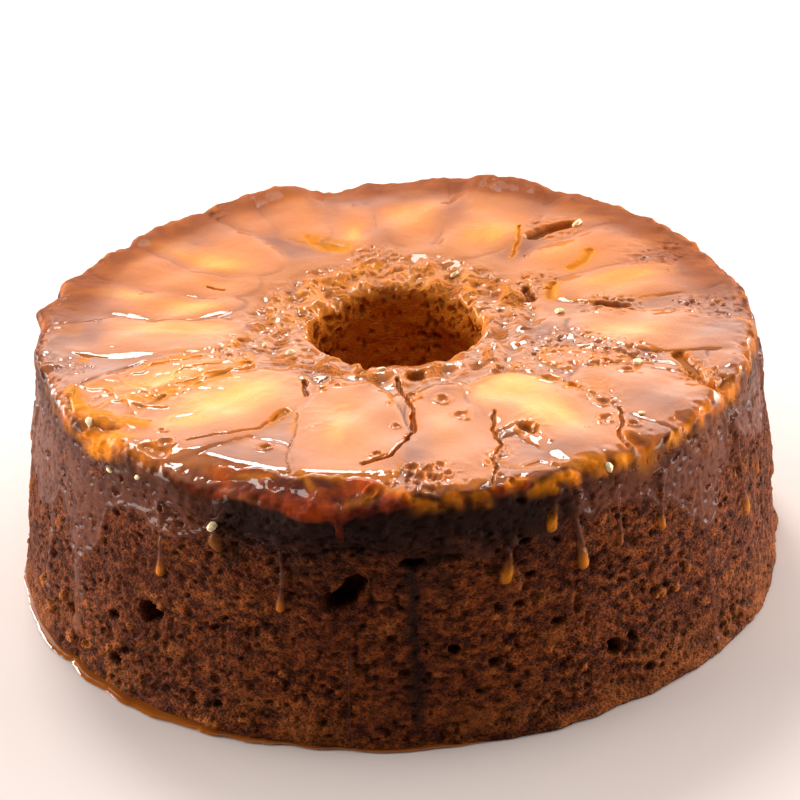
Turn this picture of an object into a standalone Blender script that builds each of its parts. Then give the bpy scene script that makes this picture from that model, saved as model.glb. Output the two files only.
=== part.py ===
"""Apple upside-down ring cake: a dense brown cake baked in a ten-inch tube pan over apple
slices and caramel, then turned out, so that the slices lie set into its top.

Run with blender --background --python part.py, or from the text editor. Metres, +Z up.
The cake stands on z = 0, centred on the origin, and its shown front faces -Y.
"""

import math

import bmesh
import bpy
import numpy as np

MM = 0.001

# The pan's inside: 9 inches across its floor, which becomes the cake's top
CAKE_HEIGHT = 78.0 * MM
TOP_RADIUS = 113.0 * MM
BASE_RADIUS = 123.2 * MM
HOLE_TOP_RADIUS = 27.8 * MM
HOLE_BASE_RADIUS = 21.5 * MM

# The top: how far in from the edge it starts to fall, and how far it falls there
RIM_WIDTH = 5.0 * MM
RIM_DROP = 4.0 * MM
HOLE_LIP_WIDTH = 4.0 * MM
HOLE_LIP_DROP = 2.5 * MM

# Apple slices: their thickness, and how far their crowns stand over the crumb between them
SLICE_THICKNESS = 8.5 * MM
SLICE_RISE = 1.5 * MM
SLICE_EDGE_FALL = 0.9 * MM
SLICE_SEAM = 0.8 * MM
POCKET_GAP = 0.5 * MM
SLICE_CORNERS = 24
SLICE_OVERHANG = 0.6 * MM

CRUMB_LEVEL = CAKE_HEIGHT - SLICE_RISE
TURN_STEPS = 84

# One row for each apple slice, in millimetres and degrees, in the order in which they lie: a
# later slice lies over an earlier one. Centre x and y, direction of its length, length,
# width, how far its middle bows sideways, and how far it stands above the others.
APPLE_SLICES = (
    (-50.0, -82.0, -28.0, 48.0, 22.0, 0.0, -0.3),
    (37.0, -91.0, -12.0, 28.0, 20.0, 0.0, -0.4),
    (103.0, -42.0, -66.0, 26.0, 13.0, 0.0, 0.0),
    (64.0, -37.0, -26.0, 46.0, 18.0, 0.0, -0.2),
    (66.0, 75.0, 50.0, 46.0, 30.0, 0.0, 0.4),
    (-88.0, -69.0, -48.0, 24.0, 10.0, 0.0, -1.2),
    (-71.0, -40.0, 28.0, 60.0, 38.0, 1.0, 0.0),
    (-79.0, -2.0, -2.0, 66.0, 29.0, -1.0, 0.2),
    (-80.0, 23.0, 165.0, 66.0, 24.0, 1.0, 0.2),
    (-52.0, 92.0, 118.0, 44.0, 18.0, 0.0, 1.6),
    (-74.0, 43.0, 151.0, 66.0, 27.0, 0.0, 0.4),
    (-62.0, 65.0, 133.0, 68.0, 32.0, 1.5, 0.6),
    (-15.0, 81.0, 97.0, 58.0, 24.0, 1.0, 0.0),
    (-34.0, 89.0, 109.0, 56.0, 21.0, 0.0, 1.8),
    (8.0, 87.0, 87.0, 62.0, 26.0, 0.0, 0.3),
    (34.0, 80.0, 73.0, 72.0, 31.0, -1.5, 1.4),
    (69.0, 48.0, 35.0, 66.0, 28.0, 0.0, 0.2),
    (81.0, 21.0, 12.0, 64.0, 27.0, 1.0, 0.2),
    (85.0, -15.0, -13.0, 64.0, 29.0, 0.0, 0.2),
    (77.0, -59.0, -38.0, 58.0, 31.0, 0.0, 0.0),
    (15.0, -79.0, -89.0, 70.0, 27.0, 0.0, 0.0),
    (44.0, -70.0, -57.0, 66.0, 34.0, 2.0, 0.3),
    (-15.0, -76.0, 92.0, 74.0, 35.0, 0.0, 0.2),
    (-55.0, -57.0, 42.0, 70.0, 38.0, -1.0, 0.6),
)

# How far the top's edge stands up or sags: angle, half width in degrees, height in millimetres
RIM_HEAVES = (
    (72.0, 9.0, 1.6),
    (110.0, 7.0, 1.4),
    (117.5, 3.5, 0.9),
    (60.5, 3.5, 1.2),
    (86.5, 4.0, -0.9),
    (98.0, 5.0, -1.4),
    (74.0, 9.0, 1.0),
    (92.0, 7.0, 1.2),
    (54.0, 9.0, 0.5),
    (150.0, 22.0, 1.2),
    (-121.0, 7.5, -3.7),
    (-108.0, 9.0, -3.7),
    (-96.5, 6.0, -3.4),
)

# Lumps of crumb and set caramel that stand out of the wall: angle, rise, how far they stand
# out in millimetres, half their width in degrees and half their height as a share of the cake's
WALL_LUMPS = (
    (-104.0, 0.93, 1.6, 4.5, 0.06),
    (-97.0, 0.92, 1.3, 3.0, 0.05),
    (-78.0, 0.94, 1.0, 4.0, 0.05),
    (-55.0, 0.94, 0.9, 5.0, 0.05),
    (169.5, 0.95, 4.4, 3.0, 0.05),
    (160.0, 0.95, 2.4, 3.5, 0.05),
    (-118.0, 0.04, 1.6, 6.0, 0.06),
)

# Pits in the side wall: angle in degrees, rise, then width, height and depth in millimetres
WALL_PITS = (
    (-98.5, 0.60, 13.0, 8.0, 11.0),
    (-129.5, 0.36, 9.0, 7.0, 6.0),
    (-60.5, 0.24, 5.5, 5.0, 6.0),
    (-89.0, 0.72, 8.0, 3.0, 5.0),
)

# Caramel drips set on the wall: angle, rise of the upper and the lower end, width in mm
CARAMEL_DRIPS = (
    (-127.4, 0.72, 0.54, 2.4),
    (-108.0, 0.74, 0.51, 2.2),
    (-75.5, 0.68, 0.60, 2.4),
    (-68.6, 0.86, 0.77, 2.6),
    (-64.5, 0.76, 0.60, 2.8),
    (-49.6, 0.74, 0.62, 2.0),
    (-28.5, 0.62, 0.42, 2.8),
)

# Chopped nuts stuck in the caramel: angle, distance from the axis or rise, and size in mm.
# The first group lies on the wall, the second in the crumb between the slices.
WALL_NUTS = (
    (-118.0, 0.86, 3.4),
    (-58.8, 0.93, 3.2),
    (-139.0, 0.88, 2.2),
)
TOP_NUTS = (
    (2.0, 52.0, 3.4),
    (-150.0, 38.0, 3.0),
    (-98.0, 33.5, 2.6),
    (60.0, 40.0, 2.8),
)


def ramp(value, start, end):
    """Smooth step from 0 at start to 1 at end, for numbers or arrays."""
    t = np.clip((value - start) / (end - start), 0.0, 1.0)
    return t * t * (3.0 - 2.0 * t)


def around(angle, centre, spread):
    """Bell of height 1 round an angle in degrees, for angles in radians."""
    away = np.angle(np.exp(1j * (angle - math.radians(centre))))
    return np.exp(-(away / math.radians(spread)) ** 2)


def unevenness(x, y, z, pitch, seed):
    """Gentle random relief between about -1 and 1, with lumps of about the given pitch."""
    rng = np.random.default_rng(seed)
    total = np.zeros_like(x)
    for _ in range(14):
        way = rng.normal(size=3)
        way *= 2.0 * math.pi / (pitch * np.linalg.norm(way)) * rng.uniform(0.6, 1.3)
        total += np.sin(way[0] * x + way[1] * y + way[2] * z + rng.uniform(0.0, 2.0 * math.pi))
    return total / 5.0


def rim_fall(radius):
    """How far the top has fallen at a distance from the axis, at its edge and at the hole."""
    out = np.clip((radius - (TOP_RADIUS - RIM_WIDTH)) / RIM_WIDTH, 0.0, 1.0)
    into = np.clip((HOLE_TOP_RADIUS + HOLE_LIP_WIDTH - radius) / HOLE_LIP_WIDTH, 0.0, 1.0)
    outer = RIM_DROP * (1.0 - np.sqrt(1.0 - out * out))
    return outer + HOLE_LIP_DROP * (1.0 - np.sqrt(1.0 - into * into))


def rim_heave(radius, angle):
    """How far the top stands up or sags towards its edge."""
    total = 0.0
    for centre, spread, height in RIM_HEAVES:
        total = total + height * MM * around(angle, centre, spread)
    return total * ramp(radius, 99.0 * MM, 111.0 * MM)


def wall_offset(angle, rise):
    """How far the real outer wall stands out from the plain cone."""
    flat_left = 0.9 * MM * around(angle, 184.0, 34.0) * ramp(rise, 0.5, 0.85)
    right_foot = 1.4 * around(angle, -8.0, 14.0) * (1.0 - ramp(rise, 0.15, 0.45))
    hollow_right = 1.0 * MM * (around(angle, -2.0, 34.0) + right_foot)
    front_foot = 1.8 * MM * around(angle, -95.0, 40.0) * (1.0 - ramp(rise, 0.0, 0.5))
    return front_foot - flat_left - hollow_right


def lump_offset(angle, rise):
    """How far the lumps stand out of the wall."""
    total = 0.0
    for centre, level, proud, spread, tall in WALL_LUMPS:
        total = total + proud * MM * around(angle, centre, spread) * np.exp(
            -((rise - level) / tall) ** 2)
    return total


def wall_point(angle_deg, rise, lift=0.0):
    """Point on the outer wall, lifted off it along its own normal."""
    angle = math.radians(angle_deg)
    slope = math.atan2(BASE_RADIUS - TOP_RADIUS, CAKE_HEIGHT)
    radius = BASE_RADIUS + (TOP_RADIUS - BASE_RADIUS) * rise + float(wall_offset(angle, rise))
    radius += lift * math.cos(slope)
    height = CAKE_HEIGHT * rise + lift * math.sin(slope)
    return (radius * math.cos(angle), radius * math.sin(angle), height)


def clear_scene():
    for old in list(bpy.data.objects):
        bpy.data.objects.remove(old, do_unlink=True)
    for spare in list(bpy.data.collections):
        bpy.data.collections.remove(spare)


def new_collection(name, hidden=False):
    group = bpy.data.collections.new(name)
    bpy.context.scene.collection.children.link(group)
    group.hide_render = hidden
    return group


def make_material(name, colour, roughness):
    material = bpy.data.materials.new(name)
    material.use_nodes = True
    surface = material.node_tree.nodes["Principled BSDF"]
    surface.inputs["Base Color"].default_value = (*colour, 1.0)
    surface.inputs["Roughness"].default_value = roughness
    surface.inputs["Metallic"].default_value = 0.0
    return material


def object_from_bmesh(mesh_data, name, collection, material=None):
    bmesh.ops.recalc_face_normals(mesh_data, faces=mesh_data.faces)
    mesh = bpy.data.meshes.new(name)
    mesh_data.to_mesh(mesh)
    mesh_data.free()
    made = bpy.data.objects.new(name, mesh)
    collection.objects.link(made)
    if material:
        mesh.materials.append(material)
    return made


def apply_modifiers(target):
    """Turn the modifiers into real mesh, with the object's own name and material kept."""
    graph = bpy.context.evaluated_depsgraph_get()
    solid = bpy.data.meshes.new_from_object(target.evaluated_get(graph))
    target.modifiers.clear()
    target.data = solid
    solid.name = target.name


def boolean_with(target, collection, operation):
    """Join a collection's objects to the target or cut them out of it, then remove them."""
    step = target.modifiers.new(operation.lower(), "BOOLEAN")
    step.operation = operation
    step.operand_type = "COLLECTION"
    step.collection = collection
    step.solver = "MANIFOLD"
    apply_modifiers(target)
    for used in list(collection.objects):
        bpy.data.objects.remove(used, do_unlink=True)


def keep_largest_piece(target):
    """Drop the loose scraps that cutting and joining can leave."""
    mesh_data = bmesh.new()
    mesh_data.from_mesh(target.data)
    left = set(mesh_data.verts)
    pieces = []
    while left:
        found = {left.pop()}
        edge_of = list(found)
        while edge_of:
            vert = edge_of.pop()
            near = {edge.other_vert(vert) for edge in vert.link_edges} & left
            left -= near
            found |= near
            edge_of.extend(near)
        pieces.append(found)
    pieces.sort(key=len)
    scraps = [vert for piece in pieces[:-1] for vert in piece]
    bmesh.ops.delete(mesh_data, geom=scraps, context="VERTS")
    mesh_data.to_mesh(target.data)
    mesh_data.free()


# Apple slices

def slice_reach(row, x, y):
    """Distance in millimetres from a slice's drawn outline, negative inside it."""
    centre_x, centre_y, axis, length, width, bow, _ = row
    turn = math.radians(axis)
    along = (x - centre_x) * math.cos(turn) + (y - centre_y) * math.sin(turn)
    across = (y - centre_y) * math.cos(turn) - (x - centre_x) * math.sin(turn)
    share = 2.0 * along / length
    across = across - bow * (1.0 - min(share * share, 1.0))
    level = (abs(share) ** 2.3 + abs(2.0 * across / width) ** 2.3) ** (1.0 / 2.3)
    return (level - 1.0) * width / 2.0


def slice_shows(index, x, y):
    """Whether a point in millimetres lies on a slice, clear of the later ones and the rim."""
    if slice_reach(APPLE_SLICES[index], x, y) > 0.0:
        return False
    edge = TOP_RADIUS + float(wall_offset(math.atan2(y, x), 0.95)) + SLICE_OVERHANG
    if math.hypot(x, y) * MM > edge:
        return False
    seam = SLICE_SEAM / MM
    return all(slice_reach(other, x, y) > seam for other in APPLE_SLICES[index + 1:])


def slice_outline(index):
    """Outline of the part of one slice that shows, found along rays from its middle."""
    row = APPLE_SLICES[index]
    half = int(row[3] / 2.0)
    seen = [(row[0] + dx, row[1] + dy) for dx in range(-half, half, 2)
            for dy in range(-half, half, 2) if slice_shows(index, row[0] + dx, row[1] + dy)]
    middle_x, middle_y = np.mean(seen, axis=0)
    corners = []
    for number in range(SLICE_CORNERS):
        angle = 2.0 * math.pi * number / SLICE_CORNERS
        # Even steps along the outline of a long slice need rays crowded at its ends
        way = math.atan2(math.sin(angle) * row[4], math.cos(angle) * row[3])
        way += math.radians(row[2])
        reach = 1.0
        while slice_shows(index, middle_x + reach * math.cos(way),
                          middle_y + reach * math.sin(way)):
            reach += 0.1
        corners.append(((middle_x + reach * math.cos(way)) * MM,
                        (middle_y + reach * math.sin(way)) * MM))
    return corners


def spread_outline(corners, distance):
    """The outline moved outwards by a distance, with its corners kept as sharp as they are."""
    count = len(corners)
    normals = []
    for index, (x, y) in enumerate(corners):
        after = corners[(index + 1) % count]
        size = math.hypot(after[0] - x, after[1] - y)
        normals.append(np.array(((after[1] - y) / size, (x - after[0]) / size)))
    moved = []
    for index, corner in enumerate(corners):
        outward = normals[index - 1] + normals[index]
        outward /= np.linalg.norm(outward)
        moved.append(np.array(corner) + outward * distance / max(outward @ normals[index], 0.4))
    return moved


def loft(rings, name, collection, material=None):
    """Closed solid through rings of equal numbers of points, each end closed by a fan."""
    mesh_data = bmesh.new()
    rows = [[mesh_data.verts.new(point) for point in ring] for ring in rings]
    for lower, upper in zip(rows, rows[1:]):
        for index in range(len(lower)):
            after = (index + 1) % len(lower)
            mesh_data.faces.new((lower[index], lower[after], upper[after], upper[index]))
    for row in (rows[0], rows[-1]):
        centre = mesh_data.verts.new(np.mean([vert.co for vert in row], axis=0))
        for index in range(len(row)):
            mesh_data.faces.new((row[index], row[(index + 1) % len(row)], centre))
    return object_from_bmesh(mesh_data, name, collection, material)


def slice_top(x, y, lift, fall):
    """Height of a slice's upper side, which bends down with the cake's rim."""
    radius = np.float64(math.hypot(x, y))
    level = CAKE_HEIGHT + lift - fall - float(rim_fall(radius))
    return level + float(rim_heave(radius, math.atan2(y, x)))


def make_slice(index, collection, material):
    row = APPLE_SLICES[index]
    lift = row[6] * MM
    outline = slice_outline(index)
    middle = np.mean(outline, axis=0)

    def ring(share, fall):
        points = [(middle[0] + (x - middle[0]) * share, middle[1] + (y - middle[1]) * share)
                  for x, y in outline]
        return [(x, y, slice_top(x, y, lift, fall)) for x, y in points]

    floor = CAKE_HEIGHT - RIM_DROP - SLICE_THICKNESS
    bottom = [(x, y, floor) for x, y in outline]
    rings = [bottom, ring(1.0, SLICE_EDGE_FALL), ring(0.88, 0.35 * SLICE_EDGE_FALL),
             ring(0.55, 0.1 * SLICE_EDGE_FALL)]
    return loft(rings, f"apple_slice_{index + 1:02d}", collection, material)


def add_pocket_cutter(index, collection):
    """The room that a slice takes up in the crumb, with a hair of clearance all round."""
    outline = spread_outline(slice_outline(index), POCKET_GAP)
    floor = CAKE_HEIGHT - RIM_DROP - SLICE_THICKNESS - POCKET_GAP
    roof = CAKE_HEIGHT + 12.0 * MM
    rings = [[(x, y, height) for x, y in outline] for height in (floor, roof)]
    cutter = loft(rings, f"pocket_{index + 1:02d}", collection)
    cutter.display_type = "WIRE"


# Cake body

def body_profile():
    """Closed section of the cake: outwards along its top, down the wall and up the hole."""
    top = [(radius, CRUMB_LEVEL - float(rim_fall(np.float64(radius))))
           for radius in (HOLE_TOP_RADIUS, HOLE_TOP_RADIUS + 0.4 * HOLE_LIP_WIDTH,
                          HOLE_TOP_RADIUS + HOLE_LIP_WIDTH, 37.0 * MM, 43.0 * MM, 52.0 * MM,
                          68.0 * MM, 86.0 * MM, 99.0 * MM, TOP_RADIUS - RIM_WIDTH,
                          TOP_RADIUS - 0.4 * RIM_WIDTH, TOP_RADIUS - 0.08 * RIM_WIDTH)]
    wall = [(BASE_RADIUS + (TOP_RADIUS - BASE_RADIUS) * rise, CAKE_HEIGHT * rise)
            for rise in (0.89, 0.78, 0.66, 0.54, 0.42, 0.30, 0.20, 0.11, 0.04, 0.0)]
    hole = [(HOLE_BASE_RADIUS + (HOLE_TOP_RADIUS - HOLE_BASE_RADIUS) * rise, CAKE_HEIGHT * rise)
            for rise in (0.0, 0.2, 0.42, 0.64, 0.84)]
    return top + wall + hole


def turn_body(collection, material):
    """Turn the section about the upright axis into the plain ring."""
    mesh_data = bmesh.new()
    verts = [mesh_data.verts.new((radius, 0.0, height)) for radius, height in body_profile()]
    for index, vert in enumerate(verts):
        mesh_data.edges.new((vert, verts[(index + 1) % len(verts)]))
    mesh = bpy.data.meshes.new("cake_body")
    mesh_data.to_mesh(mesh)
    mesh_data.free()
    body = bpy.data.objects.new("cake_body", mesh)
    collection.objects.link(body)
    mesh.materials.append(material)
    turn = body.modifiers.new("turn", "SCREW")
    turn.axis = "Z"
    turn.angle = 2.0 * math.pi
    turn.steps = TURN_STEPS
    turn.render_steps = TURN_STEPS
    turn.use_merge_vertices = True
    turn.merge_threshold = 1e-5
    apply_modifiers(body)
    return body


def add_relief(body):
    """Give the plain ring its uneven wall, craggy foot, lumpy rim and knobbly lip."""
    count = len(body.data.vertices)
    points = np.empty(count * 3)
    body.data.vertices.foreach_get("co", points)
    points = points.reshape(count, 3)
    x, y, z = points.T
    radius = np.hypot(x, y)
    angle = np.arctan2(y, x)
    rise = z / CAKE_HEIGHT

    outside = ramp(radius, 90.0 * MM, 112.0 * MM)
    shift = wall_offset(angle, rise) + lump_offset(angle, rise)
    shift += 0.5 * MM * unevenness(x, y, z, 26.0 * MM, 11)
    foot = 1.0 - ramp(rise, 0.02, 0.14)
    shift += 0.5 * MM * foot * unevenness(x, y, z, 11.0 * MM, 12)
    inside = 1.0 - ramp(radius, 30.0 * MM, 36.0 * MM)
    hole_shift = 0.7 * MM * unevenness(x, y, z, 10.0 * MM, 13)
    radius = radius + outside * shift + inside * hole_shift

    upper = ramp(z, 0.72 * CAKE_HEIGHT, 0.9 * CAKE_HEIGHT)
    lip = 1.0 - ramp(radius, 40.0 * MM, 52.0 * MM)
    heave = 1.1 * MM * lip * unevenness(x, y, z, 9.0 * MM, 14)
    heave += 0.5 * MM * (1.0 - lip) * unevenness(x, y, z, 22.0 * MM, 15)
    z = z + upper * (heave + rim_heave(radius, angle))

    shaped = np.stack([radius * np.cos(angle), radius * np.sin(angle), z], axis=1)
    body.data.vertices.foreach_set("co", shaped.ravel())
    body.data.update()


def add_ball(name, collection, centre, size, turn, subdivisions=1):
    """Small round solid, stretched to a size and turned about the upright axis."""
    mesh_data = bmesh.new()
    bmesh.ops.create_icosphere(mesh_data, subdivisions=subdivisions, radius=0.5)
    ball = object_from_bmesh(mesh_data, name, collection)
    ball.location = centre
    ball.scale = size
    ball.rotation_euler = (0.0, 0.0, turn)
    return ball


def add_pits(collection):
    for index, (angle, rise, width, height, depth) in enumerate(WALL_PITS):
        pit = add_ball(f"pit_{index}", collection, wall_point(angle, rise),
                       (2.0 * depth * MM, width * MM, height * MM), math.radians(angle), 2)
        pit.display_type = "WIRE"


def add_drips(collection):
    """Drips of set caramel, thicker at their lower ends, half sunk in the wall."""
    for index, (angle, upper, lower, width) in enumerate(CARAMEL_DRIPS):
        top = np.array(wall_point(angle, upper))
        tip = np.array(wall_point(angle, lower))
        outward = np.array((math.cos(math.radians(angle)), math.sin(math.radians(angle)), 0.0))
        sideways = np.array((-outward[1], outward[0], 0.0))
        rings = []
        for share, swell in ((0.0, 0.45), (0.45, 0.6), (0.8, 1.0), (0.97, 0.6)):
            centre = top + (tip - top) * share
            half = 0.5 * width * MM * swell
            rings.append([tuple(centre + half * (math.cos(turn) * sideways
                                                 + 0.9 * math.sin(turn) * outward))
                          for turn in np.arange(8) * math.pi / 4.0])
        loft(rings, f"drip_{index}", collection)


def add_nuts(collection):
    """Chips of chopped nut, half sunk where they stick."""
    spots = [(wall_point(angle, rise, 0.4 * MM), angle, size) for angle, rise, size in WALL_NUTS]
    for angle, reach, size in TOP_NUTS:
        turn = math.radians(angle)
        place = (reach * MM * math.cos(turn), reach * MM * math.sin(turn), CRUMB_LEVEL)
        spots.append((place, angle, size))
    for index, (place, angle, size) in enumerate(spots):
        add_ball(f"nut_{index}", collection, place,
                 (0.8 * size * MM, size * MM, 0.7 * size * MM), math.radians(angle + 25.0))


def make_body(collection, material):
    body = turn_body(collection, material)
    add_relief(body)
    cutters = new_collection("cutters", hidden=True)
    for index in range(len(APPLE_SLICES)):
        add_pocket_cutter(index, cutters)
    add_pits(cutters)
    boolean_with(body, cutters, "DIFFERENCE")
    toppings = new_collection("toppings", hidden=True)
    add_drips(toppings)
    add_nuts(toppings)
    boolean_with(body, toppings, "UNION")
    keep_largest_piece(body)
    return body


def main():
    clear_scene()
    cake = new_collection("apple_ring_cake")
    crumb = make_material("baked_crumb", (0.075, 0.026, 0.010), 0.75)
    apple = make_material("caramelised_apple", (0.62, 0.24, 0.06), 0.22)
    make_body(cake, crumb)
    for index in range(len(APPLE_SLICES)):
        make_slice(index, cake, apple)
    total = sum(len(made.data.loop_triangles) for made in cake.objects
                if not made.data.calc_loop_triangles())
    print("solids", len(cake.objects), "triangles", total)


main()
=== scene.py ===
"""Looks of an apple upside-down ring cake: dense dark crumb with an open texture, apple slices
set into its top, and caramel glaze over the top that runs down the side in sheets and drips.
"""
import math

import bmesh
import bpy
import numpy as np
from mathutils import Matrix, Vector


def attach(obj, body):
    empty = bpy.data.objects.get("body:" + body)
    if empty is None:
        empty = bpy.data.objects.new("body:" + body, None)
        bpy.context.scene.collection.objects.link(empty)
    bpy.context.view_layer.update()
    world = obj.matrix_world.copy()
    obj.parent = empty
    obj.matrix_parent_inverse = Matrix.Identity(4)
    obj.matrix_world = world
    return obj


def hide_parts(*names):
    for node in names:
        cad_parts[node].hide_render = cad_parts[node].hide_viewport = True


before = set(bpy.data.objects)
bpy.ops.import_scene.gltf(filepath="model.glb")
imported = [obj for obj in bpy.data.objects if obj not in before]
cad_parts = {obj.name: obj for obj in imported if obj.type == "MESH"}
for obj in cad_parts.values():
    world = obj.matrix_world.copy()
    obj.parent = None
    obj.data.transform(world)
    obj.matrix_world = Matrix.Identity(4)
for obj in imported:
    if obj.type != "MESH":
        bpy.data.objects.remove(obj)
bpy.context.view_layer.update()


# Cake: a dense dark batter baked upside down in a ten-inch tube pan and turned out, so that
# its top was the pan's floor. Its whole outside is one grid of points in millimetres, from
# the foot of the hole up and over the top and down the wall. Columns go round the cake.
CAKE_HEIGHT = 78
CRUMB_LEVEL = 76.5
BASE_RADIUS = 123.2
HOLE_TOP_RADIUS = 27.8
HOLE_BASE_RADIUS = 21.5
LIP_WIDTH = 4
LIP_DROP = 2.5
RIM_START = 108.7
RIM_WIDTH = 5
RIM_DROP = 4
INNER_ZONE = 62
COLUMNS = 1260
ROW_STEP = 0.56
HOLE_STEP = 0.9


def ramp(value, start, end):
    """Smooth step from 0 at start to 1 at end."""
    t = np.clip((value - start) / (end - start), 0, 1)
    return t * t * (3 - 2 * t)


def around(angle, centre, spread):
    """Bell of height 1 round an angle given in degrees."""
    away = np.angle(np.exp(1j * (angle - math.radians(centre))))
    return np.exp(-(away / math.radians(spread)) ** 2)


def bell(value, spread):
    """Height 1 where the value is 0, falling off on both sides."""
    return np.exp(-(value / spread) ** 2)


def unevenness(x, y, z, pitch, seed):
    """Gentle random relief with lumps of about the given pitch, the same as in the solids."""
    rng = np.random.default_rng(seed)
    total = np.zeros_like(x)
    for _ in range(14):
        way = rng.normal(size=3)
        way *= 2 * math.pi / (pitch * np.linalg.norm(way)) * rng.uniform(0.6, 1.3)
        total += np.sin(way[0] * x + way[1] * y + way[2] * z + rng.uniform(0, 2 * math.pi))
    return total / 5


def grain(x, y, z, pitch, seed):
    """Random relief from -1 to 1 whose lumps are about one pitch across."""
    places = np.stack([x, y, z]) / pitch
    cell = np.floor(places).astype(np.int64)
    part = places - cell
    part = part * part * (3 - 2 * part)
    total = np.zeros_like(x)
    for corner in range(8):
        step = ((corner >> 2) & 1, (corner >> 1) & 1, corner & 1)
        mix = (cell[0] + step[0]) * 73856093 ^ (cell[1] + step[1]) * 19349663
        mix = (mix ^ (cell[2] + step[2]) * 83492791 ^ seed * 40503) & 0xFFFFFFFF
        mix = ((mix ^ (mix >> 15)) * 2246822519) & 0xFFFFFFFF
        mix = ((mix ^ (mix >> 13)) * 3266489917) & 0xFFFFFFFF
        weight = (mix ^ (mix >> 16)) / 4294967296
        for axis in range(3):
            weight = weight * (part[axis] if step[axis] else 1 - part[axis])
        total += weight
    return total * 2 - 1


def section_points():
    """The cake's section, from the foot of the hole over the top to the foot of the wall."""
    turn = np.linspace(0, math.pi / 2, 60)
    hole = [[HOLE_BASE_RADIUS, 0]]
    lip = np.stack([HOLE_TOP_RADIUS + LIP_WIDTH * (1 - np.cos(turn)),
                    CRUMB_LEVEL - LIP_DROP * (1 - np.sin(turn))], axis=1)
    rim = np.stack([RIM_START + RIM_WIDTH * np.sin(turn),
                    CRUMB_LEVEL - RIM_DROP * (1 - np.cos(turn))], axis=1)
    line = np.concatenate([hole, lip, rim, [[BASE_RADIUS, 0]]])
    runs = np.concatenate([[0], np.cumsum(np.hypot(*np.diff(line, axis=0).T))])
    hole_end = runs[1]
    hole_rows = np.linspace(0, hole_end, int(hole_end / HOLE_STEP) + 1)[:-1]
    skin_rows = np.linspace(hole_end, runs[-1], int((runs[-1] - hole_end) / ROW_STEP) + 1)
    at = np.concatenate([hole_rows, skin_rows])
    return np.stack([np.interp(at, runs, line[:, 0]), np.interp(at, runs, line[:, 1])], axis=1)


section = section_points()
slope = np.gradient(section, axis=0)
slope /= np.linalg.norm(slope, axis=1, keepdims=True)
ROWS = len(section)
ANGLE = np.tile(np.arange(COLUMNS) * 2 * math.pi / COLUMNS, (ROWS, 1))
RADIUS = np.repeat(section[:, :1], COLUMNS, axis=1)
HEIGHT = np.repeat(section[:, 1:], COLUMNS, axis=1)
OUT_R = np.repeat(-slope[:, 1:], COLUMNS, axis=1)
OUT_Z = np.repeat(slope[:, :1], COLUMNS, axis=1)
X = RADIUS * np.cos(ANGLE)
Y = RADIUS * np.sin(ANGLE)
FLAT = np.zeros_like(X)
rise = HEIGHT / CAKE_HEIGHT
degrees_round = (np.degrees(ANGLE) + 180) % 360 - 180
outer = RADIUS > 80
ON_WALL = ramp(CRUMB_LEVEL - HEIGHT, RIM_DROP * 0.6, RIM_DROP + 1.5) * outer
IN_HOLE = ramp(CRUMB_LEVEL - HEIGHT, 1, LIP_DROP + 2) * ~outer
on_top = 1 - np.maximum(ON_WALL, IN_HOLE)


def skin_grain(pitch, seed):
    """Random relief over the whole skin, from -1 to 1."""
    return grain(X, Y, HEIGHT, pitch, seed)


def plan_grain(pitch, seed):
    """Random relief that is the same at each height, from -1 to 1."""
    return grain(X, Y, FLAT, pitch, seed)


torn_rim = ramp(RADIUS + 1.3 * plan_grain(6, 21) + 0.8 * plan_grain(2.4, 22), 110.6, 112.8) * outer
on_top = on_top * (1 - torn_rim)

# The unevenness that the solids have too. How far the top's edge stands up or sags: angle,
# half width in degrees, height. Lumps of the wall: angle, rise, height, half width in
# degrees, half height as a share of the cake's.
RIM_HEAVES = (
    (72, 9, 1.6), (110, 7, 1.4), (117.5, 3.5, 0.9), (60.5, 3.5, 1.2), (86.5, 4, -0.9),
    (98, 5, -1.4), (74, 9, 1), (92, 7, 1.2), (54, 9, 0.5), (150, 22, 1.2), (-121, 7.5, -3.7),
    (-108, 9, -3.7), (-96.5, 6, -3.4),
)
WALL_LUMPS = (
    (-104, 0.93, 1.6, 4.5, 0.06), (-97, 0.92, 1.3, 3, 0.05), (-78, 0.94, 1, 4, 0.05),
    (-55, 0.94, 0.9, 5, 0.05), (169.5, 0.95, 4.4, 3, 0.05), (160, 0.95, 2.4, 3.5, 0.05),
    (-118, 0.04, 1.6, 6, 0.06),
)
foot = (1 - ramp(rise, 0.02, 0.14)) * outer
bulge = -0.9 * around(ANGLE, 184, 34) * ramp(rise, 0.5, 0.85)
bulge -= around(ANGLE, -2, 34)
bulge -= 1.4 * around(ANGLE, -8, 14) * (1 - ramp(rise, 0.15, 0.45))
bulge += 1.8 * around(ANGLE, -95, 40) * (1 - ramp(rise, 0, 0.5))
for centre, level, proud, spread, tall in WALL_LUMPS:
    bulge += proud * around(ANGLE, centre, spread) * bell(rise - level, tall)
away = ramp(RADIUS, 90, 112) * (bulge + 0.5 * unevenness(X, Y, HEIGHT, 26, 11))
away += 0.5 * foot * unevenness(X, Y, HEIGHT, 11, 12)
away += 0.7 * (1 - ramp(RADIUS, 30, 36)) * unevenness(X, Y, HEIGHT, 10, 13)
lip = 1 - ramp(RADIUS, 40, 52)
heave = 1.1 * lip * unevenness(X, Y, HEIGHT, 9, 14)
heave += 0.5 * (1 - lip) * unevenness(X, Y, HEIGHT, 22, 15)
for centre, spread, height in RIM_HEAVES:
    heave += height * ramp(RADIUS, 99, 111) * around(ANGLE, centre, spread)
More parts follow.
